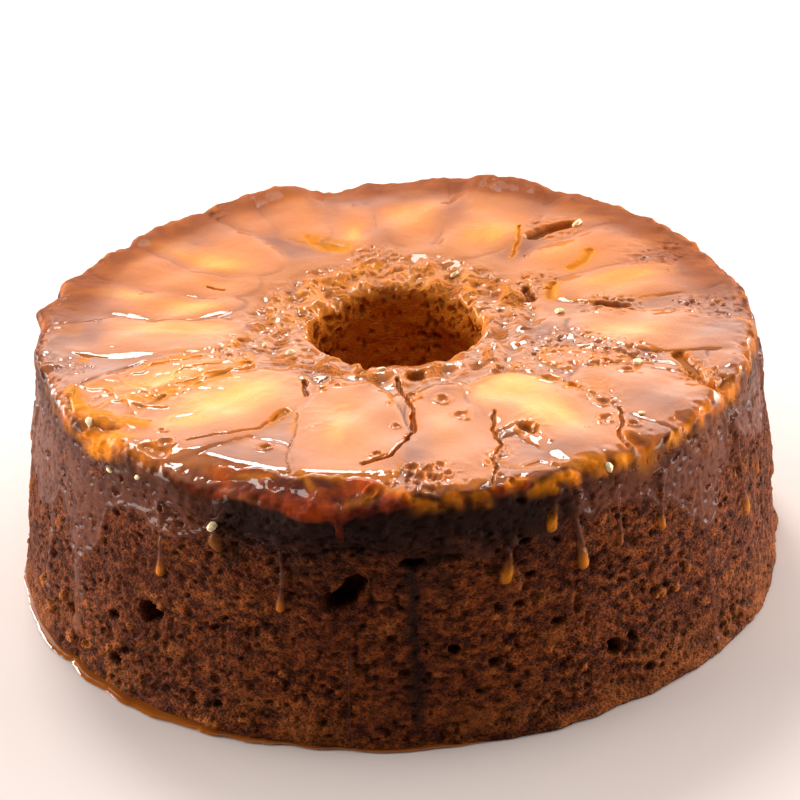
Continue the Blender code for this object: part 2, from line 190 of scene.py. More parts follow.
# Torn crumb and caramel stand up along the edge in small crags
at_edge = ramp(RADIUS, 104, 111)
crags = 0.6 * plan_grain(9, 16) + 0.5 * plan_grain(3.6, 17)
crags += 0.3 * plan_grain(1.9, 20)
heave += 0.75 * at_edge * crags
away += 0.9 * at_edge * ramp(rise, 0.86, 0.93) * crags
heave *= ramp(HEIGHT, 0.72 * CAKE_HEIGHT, 0.9 * CAKE_HEIGHT)

# Open crumb: flattened pores in clusters, low crags between them, and long level cracks low
# down, where the layers of batter parted; the finest pores are in the material's bump
WIDE = 1.5
cluster = 0.25 * skin_grain(14, 50)
pore = ramp(grain(X / WIDE, Y / WIDE, HEIGHT, 1.7, 51) + cluster, 0.42, 0.72)
small_pore = ramp(grain(X / WIDE, Y / WIDE, HEIGHT, 1.15, 52) + cluster, 0.34, 0.62)
crag = grain(X / WIDE, Y / WIDE, HEIGHT, 5, 53) + 0.7 * grain(X / WIDE, Y / WIDE, HEIGHT, 1.6, 54)
fissure = ramp(grain(X / 7, Y / 7, HEIGHT, 1.5, 55), 0.38, 0.62)
fissure *= 0.15 + 0.85 * (1 - ramp(rise, 0.09, 0.20))
crumb = 0.30 * crag - 0.85 * pore - 0.5 * small_pore - 0.8 * fissure
crumb *= 1 + 0.9 * IN_HOLE
PIT = np.clip(0.7 * pore + 0.45 * small_pore + 0.5 * fissure, 0, 1)
PALE = 0.5 * ramp(crag, 0.4, 1.2)
# The crumb is paler in patches towards the foot
PALE = np.maximum(PALE, 0.45 * ramp(grain(X / 2, Y / 2, HEIGHT, 6, 60), -0.4, 0.6)
                  * (1 - ramp(rise, 0.02, 0.30)))


def grid_patch(rows, angle, span):
    """The given rows of the grid, as many columns each way from an angle as the span says."""
    column = int(round((angle % 360) / 360 * COLUMNS))
    return np.ix_(rows, np.arange(column - span, column + span + 1) % COLUMNS)


def sideways_from(angle, patch):
    """Distance round the wall from an angle, in millimetres."""
    return np.angle(np.exp(1j * (ANGLE[patch] - math.radians(angle)))) * RADIUS[patch]


def wall_patch(angle, level, width, tall):
    """Part of the grid on the wall round a place, with its offsets sideways and upwards."""
    near = wall_rows[np.abs(HEIGHT[wall_rows, 0] - level * CAKE_HEIGHT) < tall]
    patch = grid_patch(near, angle, int(width / WALL_COLUMN) + 2)
    return patch, sideways_from(angle, patch), HEIGHT[patch] - level * CAKE_HEIGHT


# Holes left by large bubbles in the batter, torn open where the cake left the pan: angle,
# rise, width, height, depth, tilt. The first four are in the solids too.
WALL_HOLES = [
    (-98.5, 0.60, 13.5, 8, 10, 28), (-129.5, 0.38, 9, 6.5, 6, -20), (-60.5, 0.24, 5.5, 5, 6, 0),
    (-89, 0.72, 9, 3, 4, 0), (-136.5, 0.31, 5, 4, 3, 20), (-84, 0.37, 4.5, 3, 3.5, 0),
    (-57.5, 0.26, 3.5, 3, 2.5, 0), (-78.5, 0.30, 4, 2.6, 2.5, 0), (-69, 0.41, 5, 2.4, 2.5, 0),
    (-148, 0.20, 6, 3.5, 3, 0), (-136, 0.13, 5, 5, 3, 0), (-117.5, 0.10, 4, 2.4, 2.5, 0),
]
WALL_MIDDLE_RADIUS = 118
WALL_COLUMN = 2 * math.pi * WALL_MIDDLE_RADIUS / COLUMNS
rng = np.random.default_rng(7)
for _ in range(420):
    size = 0.9 + 2.2 * rng.random() ** 3
    WALL_HOLES.append((rng.uniform(-180, 180), rng.uniform(0.03, 0.93), size * 1.6,
                       size * rng.uniform(0.7, 1), size * rng.uniform(0.5, 0.8),
                       rng.uniform(-20, 20)))
wall_rows = np.nonzero(outer[:, 0] & (HEIGHT[:, 0] < CRUMB_LEVEL - 3))[0]
for angle, level, width, tall, deep, tilt in WALL_HOLES:
    patch, sideways, upward = wall_patch(angle, level, width, max(tall, 0.7 * width))
    ripple = 1 + 0.35 * grain(X[patch], Y[patch], HEIGHT[patch], 2.4, 61)
    turn = math.radians(tilt)
    long_way = sideways * math.cos(turn) + upward * math.sin(turn)
    short_way = upward * math.cos(turn) - sideways * math.sin(turn)
    off = np.sqrt((2 * long_way / width) ** 2 + (2 * short_way / tall) ** 2) / ripple
    bowl = 1 - ramp(off, 0.55, 1.08)
    crumb[patch] = np.minimum(crumb[patch], crumb[patch] * (1 - bowl) - deep * bowl)
    PIT[patch] = np.maximum(PIT[patch], bowl * min(1, 0.5 + 0.12 * deep))

# Crumbs that tore loose and stuck again, paler than the skin: angle, rise, width, height,
# how far they stand out; the first ones show at the front and low on the left
LOOSE_CRUMBS = [
    (-51.5, 0.37, 6, 3.2, 1), (-48.5, 0.36, 4, 3, 0.9), (-45.5, 0.41, 3, 2.4, 0.7),
    (-78, 0.48, 4.2, 2.2, 0.8), (-76, 0.44, 3, 1.6, 0.6), (-129, 0.455, 6, 2.2, 0.9),
    (-127.5, 0.42, 3, 3, 0.8), (-59, 0.50, 4, 1.8, 0.6), (-66, 0.50, 3.4, 1.6, 0.6),
    (-157, 0.20, 6, 5, 1.5), (-154, 0.13, 7, 4.6, 1.6), (-150.5, 0.22, 4, 4.6, 1.2),
    (-147.5, 0.09, 6, 4.4, 1.3), (-143, 0.11, 5, 4, 1.2), (-137.5, 0.16, 4, 4.4, 1.2),
    (-133, 0.30, 3.4, 2.4, 0.9), (-119, 0.03, 12, 3.4, 1.4), (-113, 0.07, 6, 2.4, 1),
]
for _ in range(150):
    size = rng.uniform(0.9, 2.4)
    LOOSE_CRUMBS.append((rng.uniform(-180, 180), 0.78 * rng.random() ** 1.3 + 0.02,
                         size * 1.5, size, 0.25 * size))
for angle, level, width, tall, proud in LOOSE_CRUMBS:
    patch, sideways, upward = wall_patch(angle, level, width, 1.3 * tall)
    ripple = 1 + 0.5 * grain(X[patch], Y[patch], HEIGHT[patch], 2, 62)
    off = np.sqrt((2 * sideways / width) ** 2 + (2 * upward / tall) ** 2) / ripple
    bump = 1 - ramp(off, 0.6, 1)
    crumb[patch] += proud * bump
    PALE[patch] = np.maximum(PALE[patch], min(1, 0.4 + 0.5 * proud) * bump)
    PIT[patch] *= 1 - 0.8 * bump


# Apple slices: half-moons of peeled apple laid round the pan before the batter, so they came
# out on top, soft, bent over the rim and some over others. One row each, lower ones first:
# centre x and y, direction, length, width, bow, and how far it stands above the others.
APPLE_SLICES = (
    (-50, -82, -28, 48, 22, 0, -0.3),
    (37, -91, -12, 28, 20, 0, -0.4),
    (103, -42, -66, 26, 13, 0, 0),
    (64, -37, -26, 46, 18, 0, -0.2),
    (66, 75, 50, 46, 30, 0, 0.4),
    (-88, -69, -48, 24, 10, 0, -1.2),
    (-71, -40, 28, 60, 38, 1, 0),
    (-79, -2, -2, 66, 29, -1, 0.2),
    (-80, 23, 165, 66, 24, 1, 0.2),
    (-52, 92, 118, 44, 18, 0, 1.6),
    (-74, 43, 151, 66, 27, 0, 0.4),
    (-62, 65, 133, 68, 32, 1.5, 0.6),
    (-15, 81, 97, 58, 24, 1, 0),
    (-34, 89, 109, 56, 21, 0, 1.8),
    (8, 87, 87, 62, 26, 0, 0.3),
    (34, 80, 73, 72, 31, -1.5, 1.4),
    (69, 48, 35, 66, 28, 0, 0.2),
    (81, 21, 12, 64, 27, 1, 0.2),
    (85, -15, -13, 64, 29, 0, 0.2),
    (77, -59, -38, 58, 31, 0, 0),
    (15, -79, -89, 70, 27, 0, 0),
    (44, -70, -57, 66, 34, 2, 0.3),
    (-15, -76, 92, 74, 35, 0, 0.2),
    (-55, -57, 42, 70, 38, -1, 0.6),
)
SLICE_RISE = 1.5
SLICE_EDGE_FALL = 0.4
SLICE_SKIRT = 6

# Where the flesh is thick and clear enough to shine yellow: x, y, half length, half width,
# direction, strength
CLEAR_FLESH = (
    (-50, -50, 19, 12, 42, 1), (-61, -62, 11, 6, 20, 0.9), (34, -50, 13, 12, -50, 1),
    (43, -65, 17, 9, -60, 0.95), (-17, -72, 22, 9, 92, 0.5), (12, -75, 20, 6, -89, 0.3),
    (-72, -34, 17, 8, 28, 0.7), (70, -14, 17, 7, -8, 0.6), (72, 24, 21, 9, 12, 0.75),
    (52, 46, 12, 11, 35, 0.6), (33, 60, 14, 12, 73, 0.85), (33, 88, 16, 9, 73, 0.3),
    (7, 82, 15, 10, 87, 0.6), (-15, 67, 10, 8, 97, 1), (-35, 95, 12, 6, 109, 0.35),
    (-56, 44, 20, 10, 128, 0.95), (-72, 58, 17, 9, 133, 0.6), (-86, 28, 15, 6, 158, 0.8),
    (-62, 17, 15, 7, 175, 0.95), (-68, 2, 24, 9, 0, 0.6),
)

# Distance from the axis as if the top went on flat past the rim, so a slice bends over it
reach_out = RADIUS + np.clip(CRUMB_LEVEL - RIM_DROP - HEIGHT, 0, None) * outer
flat_x = reach_out * np.cos(ANGLE)
flat_y = reach_out * np.sin(ANGLE)
# The outline of a soft slice wavers by a millimetre or so
bent_x = flat_x + 1.1 * plan_grain(11, 41) + 0.4 * plan_grain(3.5, 43)
bent_y = flat_y + 1.1 * plan_grain(11, 42) + 0.4 * plan_grain(3.5, 44)


def turned(centre_x, centre_y, axis):
    """How far each point of the top lies along and across an axis through a place."""
    cosine = math.cos(math.radians(axis))
    sine = math.sin(math.radians(axis))
    return ((bent_x - centre_x) * cosine + (bent_y - centre_y) * sine,
            (bent_y - centre_y) * cosine - (bent_x - centre_x) * sine)


def spread_over(rows, power):
    """For rows of x, y, half length, half width, direction and strength: each strength, and a
    spot of height 1 that falls off from its middle, the more steeply the higher the power."""
    for centre_x, centre_y, half_length, half_width, axis, strength in rows:
        along, across = turned(centre_x, centre_y, axis)
        yield strength, np.exp(-(along / half_length) ** power - (across / half_width) ** power)


OWNER = np.full(X.shape, -1)
SEAM = np.full(X.shape, 50.0)
slice_lift = np.zeros_like(X)
ALONG = np.zeros_like(X)
ACROSS = np.zeros_like(X)
for number, row in enumerate(APPLE_SLICES):
    centre_x, centre_y, axis, length, width, bow, lift = row
    along, across = turned(centre_x, centre_y, axis)
    share = 2 * along / length
    across = across - bow * (1 - np.minimum(share * share, 1))
    level = (np.abs(share) ** 2.3 + np.abs(2 * across / width) ** 2.3) ** (1 / 2.3)
    reach = (level - 1) * width / 2
    on = (reach < 0) & (IN_HOLE < 0.5)
    SEAM = np.minimum(np.where(on, 50, SEAM), np.abs(reach))
    OWNER[on] = number
    depth = np.clip(-reach, 0, None)
    fall = SLICE_EDGE_FALL * (1 - ramp(depth, -0.4, 2.4)) + 0.2 * (1 - ramp(depth, 2, 8))
    proud = min(lift, 0.3) + max(lift - 0.3, 0) * ramp(RADIUS, 80, 102)
    slice_lift = np.where(on, SLICE_RISE + proud - fall, slice_lift)
    ALONG = np.where(on, along, ALONG)
    ACROSS = np.where(on, across, ACROSS)
# Between the slices the caramel stands almost as high as they do, and it rounds off each
# step, most of all at the back, where it lies deepest
slice_lift += 1.1 * (OWNER < 0) * ramp(RADIUS, 40, 54)
deep_back = ramp(Y, -15, 35)
SLIGHT_ROUNDS = 6
FULL_ROUNDS = 26
rounded = slice_lift
for rounding in range(FULL_ROUNDS):
    wider = np.roll(rounded, 1, axis=1) + np.roll(rounded, -1, axis=1)
    higher = np.roll(rounded, 1, axis=0) + np.roll(rounded, -1, axis=0)
    rounded = 0.2 * rounded + 0.2 * (wider + higher)
    if rounding == SLIGHT_ROUNDS - 1:
        slightly = rounded
slice_lift = slightly * (1 - deep_back) + rounded * deep_back
signed_seam = np.where(OWNER >= 0, SEAM, -SEAM)
APPLE = ramp(signed_seam / (1 + 4 * deep_back), -0.8, 1.4) * (1 - 0.9 * torn_rim)

FLESH = 0.10 * ramp(np.where(OWNER >= 0, SEAM, 0), 1, 8)
for strength, spot in spread_over(CLEAR_FLESH, 2):
    FLESH = np.maximum(FLESH, strength * spot)
streaks = grain(ALONG / 3.5, ACROSS, FLAT, 2.6, 45)
soft_edge = ramp(signed_seam / (1 + 1.5 * deep_back), 0, 2.5)
FLESH = np.clip(FLESH * (1 + 0.22 * streaks) * soft_edge, 0, 1) * (1 - 0.3 * deep_back)

# Where brown caramel hides the flesh: along the outer ends, and in spots: x, y, half length,
# half width, direction, strength
BROWN_SPOTS = (
    (-45, -86, 17, 9, -25, 0.9), (4, -88, 14, 6, 88, 0.8),
    (43, -92, 13, 8, 10, 0.8), (77, -64, 15, 12, -40, 0.75),
    (48, -14, 12, 8, -20, 0.8), (-26, -31, 8, 7, 30, 0.6),
    (102, -8, 12, 20, 0, 0.6), (-92, -24, 18, 6, 12, 0.5),
    (15, -47, 8, 6, 30, 0.6), (92, 48, 16, 12, 60, 0.7),
    (-97, 46, 12, 16, -20, 0.8), (-60, 92, 16, 9, 60, 0.8),
    (60, 88, 24, 12, -40, 0.8), (23, 84, 16, 5, 80, 0.6),
    (-18, 95, 14, 6, 95, 0.6), (-4, 66, 9, 5, 90, 0.6),
)
BROWN = ramp(RADIUS + 6 * plan_grain(16, 56), 84, 106) * ramp(Y, -55, 0)
BROWN = np.maximum(BROWN, 0.8 * ramp(RADIUS + 3 * plan_grain(9, 57), 104, 112))
for strength, spot in spread_over(BROWN_SPOTS, 2):
    BROWN = np.maximum(BROWN, strength * spot)
between = ramp(-signed_seam, -1, 2.5) * ramp(RADIUS, 52, 64)
BROWN = np.maximum(BROWN, between * (0.35 + 0.6 * deep_back))
BROWN *= 1 + 0.3 * plan_grain(5, 58)


# Caramel glaze: butter and sugar that was under the apples and ran over the turned-out cake.
# It covers the top, and hangs down the wall in sheets that end in drips with amber beads.
# The sheets' lower edge: angle and rise, as it shows on the front and guessed on the back.
SHEET_EDGE = (
    (-180, 0.66), (-172, 0.60), (-163, 0.55), (-158, 0.50), (-153, 0.62),
    (-150.5, 0.52), (-146, 0.42), (-141.5, 0.52), (-139, 0.70), (-135, 0.77),
    (-128, 0.75), (-122, 0.77), (-115, 0.79), (-105, 0.78), (-95, 0.79),
    (-85, 0.77), (-78, 0.73), (-72, 0.75), (-66, 0.79), (-60, 0.77), (-52, 0.75),
    (-47, 0.70), (-43, 0.60), (-40, 0.52), (-37, 0.57), (-34, 0.72), (-30, 0.78),
    (-25, 0.72), (-15, 0.62), (-4, 0.70), (10, 0.76), (24, 0.66), (38, 0.79),
    (55, 0.72), (70, 0.80), (84, 0.62), (95, 0.77), (110, 0.72), (124, 0.80),
    (138, 0.60), (150, 0.76), (165, 0.72), (180, 0.66),
)
# Drips: angle, rise of the upper and lower end, width in mm, how much amber its bead shows,
# and how far its lower end swings sideways
DRIPS = [
    (-155.5, 0.70, 0.16, 3.4, 0.1, 0),
    (-146.2, 0.62, 0.12, 9, 0.1, 0),
    (-127.4, 0.84, 0.54, 3, 1, -1),
    (-118, 0.84, 0.71, 4.5, 0.3, 1),
    (-108, 0.84, 0.51, 2.6, 0.7, 0),
    (-98.4, 0.34, 0.01, 1.3, 0.1, 0),
    (-75.5, 0.76, 0.60, 3.6, 0.9, -1),
    (-68, 0.93, 0.77, 3.4, 1, -1.6),
    (-64.8, 0.86, 0.59, 3.6, 1, 1),
    (-57.6, 0.84, 0.63, 2.2, 0.3, 0),
    (-49.6, 0.84, 0.62, 2.6, 0.8, 0),
    (-53.5, 0.84, 0.68, 1.6, 0.2, 0),
    (-40.6, 0.74, 0.03, 1.9, 0.1, 0),
    (-28.5, 0.84, 0.42, 3.4, 0.9, 1),
    (-21, 0.80, 0.50, 2.4, 0.6, 0),
    (-170, 0.80, 0.42, 2.8, 0.5, 0),
]
for step in range(22):
    DRIPS.append((-10 + 9.1 * step + rng.uniform(-3, 3), 0.85,
                  rng.choice([0.62, 0.5, 0.36, 0.18]) + rng.uniform(-0.05, 0.05),
                  rng.uniform(1.8, 4), rng.uniform(0.2, 1), rng.uniform(-1.5, 1.5)))

edge_angle, edge_rise = np.array(SHEET_EDGE).T
edge_at = np.interp(degrees_round, edge_angle, edge_rise)
edge_at = edge_at + 0.04 * plan_grain(7, 71) + 0.02 * plan_grain(2.6, 72)
above = rise - edge_at
GLAZE = ramp(above, -0.008, 0.012) * outer
film = GLAZE * (0.15 + 0.40 * bell(above - 0.018, 0.014))
AMBER = np.zeros_like(X)
for angle, start, end, width, amber, swing in DRIPS:
    near = wall_rows[(rise[wall_rows, 0] < start + 0.02) & (rise[wall_rows, 0] > end - 0.08)]
    patch = grid_patch(near, angle, int((1.6 * width + abs(swing)) / WALL_COLUMN) + 6)
    down = (start - rise[patch]) / (start - end)
    wander = 0.5 * np.sin(down * 5 + angle) + swing * down * down
    sideways = sideways_from(angle, patch)
    to_tip = (rise[patch] - end) * CAKE_HEIGHT
    swell = 0.60 + 0.4 * bell(to_tip - 0.8 * width, 1.1 * width) * (amber > 0.2)
    swell += 1.3 * (1 - ramp(down, 0, 0.25)) * (width > 2)
    half = 0.5 * width * swell
    off = np.hypot(sideways - wander, np.minimum(to_tip - half, 0)) / half
    shape = 1 - ramp(off, 0.75, 1.1)
    dome = np.sqrt(np.clip(1 - off * off, 0, 1))
    thick = (0.12 + 0.34 * width * np.clip(swell, 0, 1.1)) if amber > 0.2 else 0.35
    GLAZE[patch] = np.maximum(GLAZE[patch], shape)
    film[patch] = np.maximum(film[patch], dome * thick)
    bead = bell(to_tip - 0.6 * width, width) * shape
    AMBER[patch] = np.maximum(AMBER[patch], 0.62 * amber * bead)
# Pin-holes in the sheets, where air came out of the crumb under them
pin = ramp(grain(X / 1.1, Y / 1.1, HEIGHT, 1.35, 73) + 0.2 * skin_grain(9, 78), 0.5, 0.68)
pin *= ramp(above, -0.1, 0.05) * ON_WALL
patchy = ramp(skin_grain(6, 74) + 0.5 * skin_grain(2.5, 75), 0.45, 0.75)
GLAZE = np.clip(GLAZE * (1 - 0.8 * pin) * (1 - 0.6 * patchy * ON_WALL), 0, 1)
film = film * (1 - 0.9 * pin)
GLAZE = np.where(outer & (ON_WALL > 0), GLAZE, 1)
GLAZE *= 1 - IN_HOLE * ramp(HEIGHT, 76, 68)
bare = lip * ramp(skin_grain(4, 76) + 0.4 * skin_grain(2, 77), 0.1, 0.5)
GLAZE *= 1 - 0.8 * bare

# Crumb soaked dark by the syrup, in one long run and under the rim at the front, where painted shade
# makes it nearly black; painted shade also darkens a band under the rim all round
SOAKED_AND_SHADE = ramp(degrees_round, -126, -114) * (1 - ramp(degrees_round, -72, -58))
soaked_shade_edge = 0.07 * skin_grain(9, 79) + 0.05 * skin_grain(2.6, 100)
SOAKED_AND_SHADE *= ramp(rise + soaked_shade_edge, 0.60, 0.86)
run_width = 2.6 + 0.9 * skin_grain(9, 80)
run = bell((degrees_round + 89.3) * 2.06, run_width)
SOAKED_AND_SHADE = np.maximum(SOAKED_AND_SHADE, 0.95 * run * ramp(rise, 0.03, 0.12) * outer)
SOAKED_AND_SHADE = np.maximum(SOAKED_AND_SHADE, 0.35 * ramp(rise, 0.80, 0.92)) * outer
SOAKED_AND_SHADE *= ramp(CRUMB_LEVEL - HEIGHT, 0.8, 2.5)

# The thick caramel that set on the rim, with the glow of light shining through it from behind painted
# in, strongest at the front: angle, how orange, how red
RIM_GLOW = (
    (-180, 0.2, 0.2), (-158, 0.2, 0.2), (-150, 0.6, 0.3), (-140, 0.9, 0.4),
    (-134, 0.3, 0.3), (-127, 0.1, 0.2), (-119, 0.2, 0.7), (-108, 0.5, 1),
    (-96, 0.7, 1), (-90, 0.5, 1), (-75, 0.8, 1), (-60, 0.9, 0.9),
    (-48, 0.8, 0.8), (-38, 0.7, 0.9), (-25, 0.4, 0.5), (0, 0.4, 0.5), (180, 0.2, 0.2),
)
glow_angle, orange_share, red_share = np.array(RIM_GLOW).T
sag_share = around(ANGLE, -121, 7.5) + around(ANGLE, -108, 9) + around(ANGLE, -96.5, 6)
sag_share = np.clip(sag_share, 0, 1)
crest_at = 112.8 - 9.5 * sag_share + 1.8 * plan_grain(8, 91) + 0.7 * plan_grain(2.6, 92)
hangs_to = 0.962 - 0.012 * around(ANGLE, -100, 25) + 0.025 * plan_grain(9, 97)
hangs_to = hangs_to + 0.012 * plan_grain(3.5, 98)
fringe = ramp(RADIUS, crest_at - 0.5, crest_at + 0.7)
fringe = fringe * ramp(rise, hangs_to - 0.008, hangs_to + 0.012)
red_here = np.interp(degrees_round, glow_angle, red_share)
orange_here = np.interp(degrees_round, glow_angle, orange_share)
# Painted glow: red on the hanging fringe and orange bits along the crest, in the toffee and amber
# layers
TOFFEE_AND_GLOW = red_here * fringe
orange_bits = bell(RADIUS - crest_at - 0.4, 1.5) * ramp(rise, 0.9, 0.95)
orange_bits *= ramp(skin_grain(4.5, 99), -0.3, 0.1)
AMBER = np.maximum(AMBER, orange_here * orange_bits)
TOFFEE_AND_GLOW = np.maximum(TOFFEE_AND_GLOW, np.clip(1.6 * orange_here, 0, 1) * orange_bits)
front_fringe = red_here ** 2
fringe_lumps = fringe * front_fringe * (0.7 + 0.6 * skin_grain(8, 93))
fringe_lumps += 0.35 * fringe * skin_grain(2.6, 94)


# The top between and on the slices: smooth where caramel lies deep, wrinkled, bubbly or open
# crumb in patches: x, y, how far the patch reaches, how rough it is
ROUGH_PATCHES = (
    (54, -27, 15, 1), (72, -30, 10, 0.8), (60, -55, 7, 0.8),
    (92, -46, 9, 1), (8, -105, 10, 1), (-8, -103, 7, 0.9),
    (-50, -14, 9, 0.9), (-102, -22, 7, 0.6), (98, -2, 12, 0.7),
    (68, 5, 10, 0.8), (85, 42, 13, 0.7), (-6, 48, 9, 1),
    (33, -36, 6, 0.9), (28, -92, 6, 0.8), (55, 66, 9, 0.8),
    (-60, 88, 7, 0.4), (-112, 5, 6, 0.5), (46, 24, 8, 0.7),
)
ring_rough = 0.30 + 0.45 * ramp(Y, -10, 22) + 0.15 * ramp(-X, 15, 35)
ROUGH = lip * ring_rough
for centre_x, centre_y, size, strength in ROUGH_PATCHES:
    near = np.hypot(bent_x - centre_x, bent_y - centre_y) / size
    ROUGH = np.maximum(ROUGH, strength * (1 - ramp(near, 0.6, 1.3)))
ROUGH *= 1 - 0.75 * (OWNER >= 0) * ramp(SEAM, 1, 4)
top_relief = ROUGH * (0.40 * skin_grain(3, 81) + 0.5 * skin_grain(1.45, 82)
                      - 0.7 * ramp(skin_grain(2.1, 83), 0.30, 0.55))
top_relief += 0.14 * skin_grain(7, 84) + 0.03 * skin_grain(2, 85)
top_relief += APPLE * 0.06 * grain(ALONG / 3.5, ACROSS, FLAT, 3, 86)
seam_line = bell(SEAM, 0.5) * ramp(plan_grain(8, 87), -0.2, 0.4)
seam_line *= 1 - 0.6 * deep_back
top_relief -= 0.3 * seam_line
BROWN = np.maximum(BROWN, 0.75 * seam_line)
AMBER = np.maximum(AMBER, 0.55 * bell(signed_seam - 0.9, 0.9) * on_top
                   * ramp(plan_grain(11, 101), 0, 0.5) * (1 - deep_back))

# Wrinkles in the skin of the clear caramel, as low bent ridges: x, y, half length, half width,
# direction, how high
WRINKLED = (
    (-74, -37, 26, 15, 28, 1), (-48, -22, 9, 10, 0, 0.9),
    (-62, -60, 10, 6, 20, 0.5), (34, -36, 11, 5, -30, 0.8),
    (16, -46, 7, 7, 0, 0.6), (36, -78, 7, 8, -60, 0.7),
    (-24, -40, 7, 5, 0, 0.8), (8, -103, 12, 8, 0, 0.7),
    (44, -99, 12, 4, 0, 0.7), (60, -55, 8, 9, 0, 0.7),
    (62, -27, 16, 8, 0, 0.6), (-22, -66, 9, 12, 90, 0.35),
)
WRINKLE = np.zeros_like(X)
squiggle = bell(plan_grain(8, 18), 0.13)
squiggle += 0.6 * bell(plan_grain(4, 19), 0.16)
for strength, spot in spread_over(WRINKLED, 4):
    top_relief += 0.32 * strength * spot * squiggle
    WRINKLE = np.maximum(WRINKLE, strength * spot * squiggle)

# Open seams, dents, thick glassy edges and wrinkles that show one by one: half width, height
# (less than 0 for a dent), how amber, how red (painted glow in a dent), how much painted shade
# in a dent's depth, and the points it runs through
STROKES = (
    (1.5, -2.2, 0.3, 1, 0.45, ((0, -40), (1, -50), (4, -62), (4, -75), (0.5, -83), (-3, -91),
     (-11, -95))),
    (0.9, -0.6, 0.3, 0.5, 0.3, ((-62, -76.5), (-50, -73), (-41, -68.5), (-36, -62))),
    (1.8, -0.8, 0.6, 0.8, 0, ((-37, -64), (-33.5, -60))),
    (1.1, -1.5, 0.5, 0.8, 0.5, ((28, -66), (27, -76), (29, -84), (26, -92), (26.5, -100),
     (25, -109))),
    (0.6, -0.6, 0.3, 0.4, 0.3, ((-30, -62), (-30.5, -75), (-33, -85), (-32, -97))),
    (1.4, -1.8, 0, 1, 0.4, ((-28.5, -40), (-27.5, -50))),
    (2.6, -2, 0.6, 0.9, 0.1, ((-9, -26), (-12, -34))),
    (1.2, -1.6, 0.3, 0.8, 0.5, ((65, -66), (65, -76), (63, -84), (65, -90))),
    (3.4, -1.8, 0.4, 1, 0.3, ((67, -85), (70, -89))),
    (2.6, -2.6, 0.7, 0.7, 0.3, ((86, -32), (89, -40), (91, -48), (94, -55), (99, -52))),
    (2.6, -1.8, 0.2, 1, 0.1, ((4, -36.5), (7, -36))),
    (2.2, -1.8, 0.3, 0.7, 0.2, ((36, -76), (38.5, -79))),
    (3, -2.8, 0.1, 1, 0.4, ((47, 60), (53, 65), (60, 67.5))),
    (2.2, -2.4, 0.1, 1, 0.3, ((64, 5), (68, 4), (73, 3.5))),
    (1.8, -2.2, 0.1, 1, 0.3, ((42, 20), (44, 13))),
    (1.8, -0.8, 1, 0.3, 0, ((50, 12), (51, 21))),
    (1.8, -0.8, 1, 0.3, 0, ((58, 33), (62, 38), (65, 45))),
    (1.3, -1, 1, 0.2, 0, ((39, 45), (42, 56), (43, 68))),
    (1.3, -1, 0.1, 0.8, 0.3, ((-60, 31), (-55, 28))),
    (2.6, -0.6, 1, 0.5, 0, ((-27, 66), (-22, 59), (-16, 57))),
    (2.6, 1.3, 1, 0.1, 0, ((-99, -40), (-96, -50), (-90, -57.5), (-82, -62.5), (-76, -65))),
    (1, -1, 0.4, 0.6, 0.4, ((-100, -44), (-97, -54), (-91, -61.5), (-83, -66))),
    (2.6, -0.8, 0.4, 0.9, 0.1, ((-74, -78), (-69, -82))),
    (0.7, 0.8, 0.7, 0, 0, ((-81, -28), (-75, -22.5), (-67, -22.5), (-60, -19), (-56, -20),
     (-52, -14), (-50, -10))),
    (0.7, 0.7, 0.7, 0, 0, ((-66, -27), (-58, -26), (-50, -24), (-46, -18))),
    (0.7, 0.8, 0.8, 0, 0, ((-67, -37), (-62, -35), (-58, -32), (-53, -31), (-50, -28))),
    (0.7, 0.8, 0.7, 0, 0, ((-98, -37), (-93, -40), (-88, -40.5), (-85, -45), (-81, -48.5),
     (-76, -52), (-70, -54))),
    (0.7, 0.7, 0.7, 0, 0, ((-89, -53), (-87, -48.5), (-82, -48), (-80, -52), (-79, -56))),
    (0.7, 0.7, 0.8, 0, 0, ((-77, -40), (-73, -46), (-71, -43), (-67, -46.5), (-63, -43))),
    (0.7, 0.7, 0.5, 0, 0, ((-47, -20), (-44, -24), (-45, -29), (-49, -30))),
    (0.8, 0.7, 0.2, 0, 0, ((-29, -37.5), (-18, -37), (-22.5, -45), (-29, -37.5))),
    (0.7, 0.6, 0.3, 0, 0, ((8, -42), (13, -40.5), (17, -44), (20, -47), (21, -52))),
    (0.7, 0.6, 0.2, 0, 0, ((28, -76), (32, -74.5), (36, -73), (40, -79), (43, -86))),
    (0.7, 0.6, 0.2, 0, 0, ((35, -99), (39, -96.5), (44, -99), (50, -97.5))),
    (0.7, 0.7, 0.4, 0, 0, ((29, -35), (33, -32.5), (38, -35), (41, -39))),
    (0.7, 0.7, 0.6, 0, 0, ((42, -43), (46, -42), (50, -46), (47, -48), (43, -46))),
)
# Wet spots where the caramel stands clear: x, y, half length, half width, direction, how clear
CLEAR_CARAMEL = (
    (-63, -38.5, 15, 4.6, 38, 1), (-77, -45.5, 8, 3.6, -5, 0.95), (-90, -36, 6, 4, 20, 0.55),
    (-70, -22, 13, 2.2, 17, 0.8), (-82, -34, 8, 5, 20, 0.35), (-47.5, -25, 3, 6, 0, 0.9),
    (-86, -69, 9.5, 4.4, -38, 0.9), (-74, -80, 5, 4, -45, 0.6), (-98, -17, 2, 3, 0, 0.8),
    (46, -45, 3.4, 2.2, -35, 0.9), (52, -50.5, 2.2, 2.2, 0, 0.9), (60, -52, 3.5, 5, 0, 0.35),
    (88, -42, 3, 9, 10, 0.5), (53, -97, 5, 2.5, 15, 0.8), (-20, 60, 6, 4, -30, 0.7),
    (-104, 3, 5, 4, 0, 0.3),
)


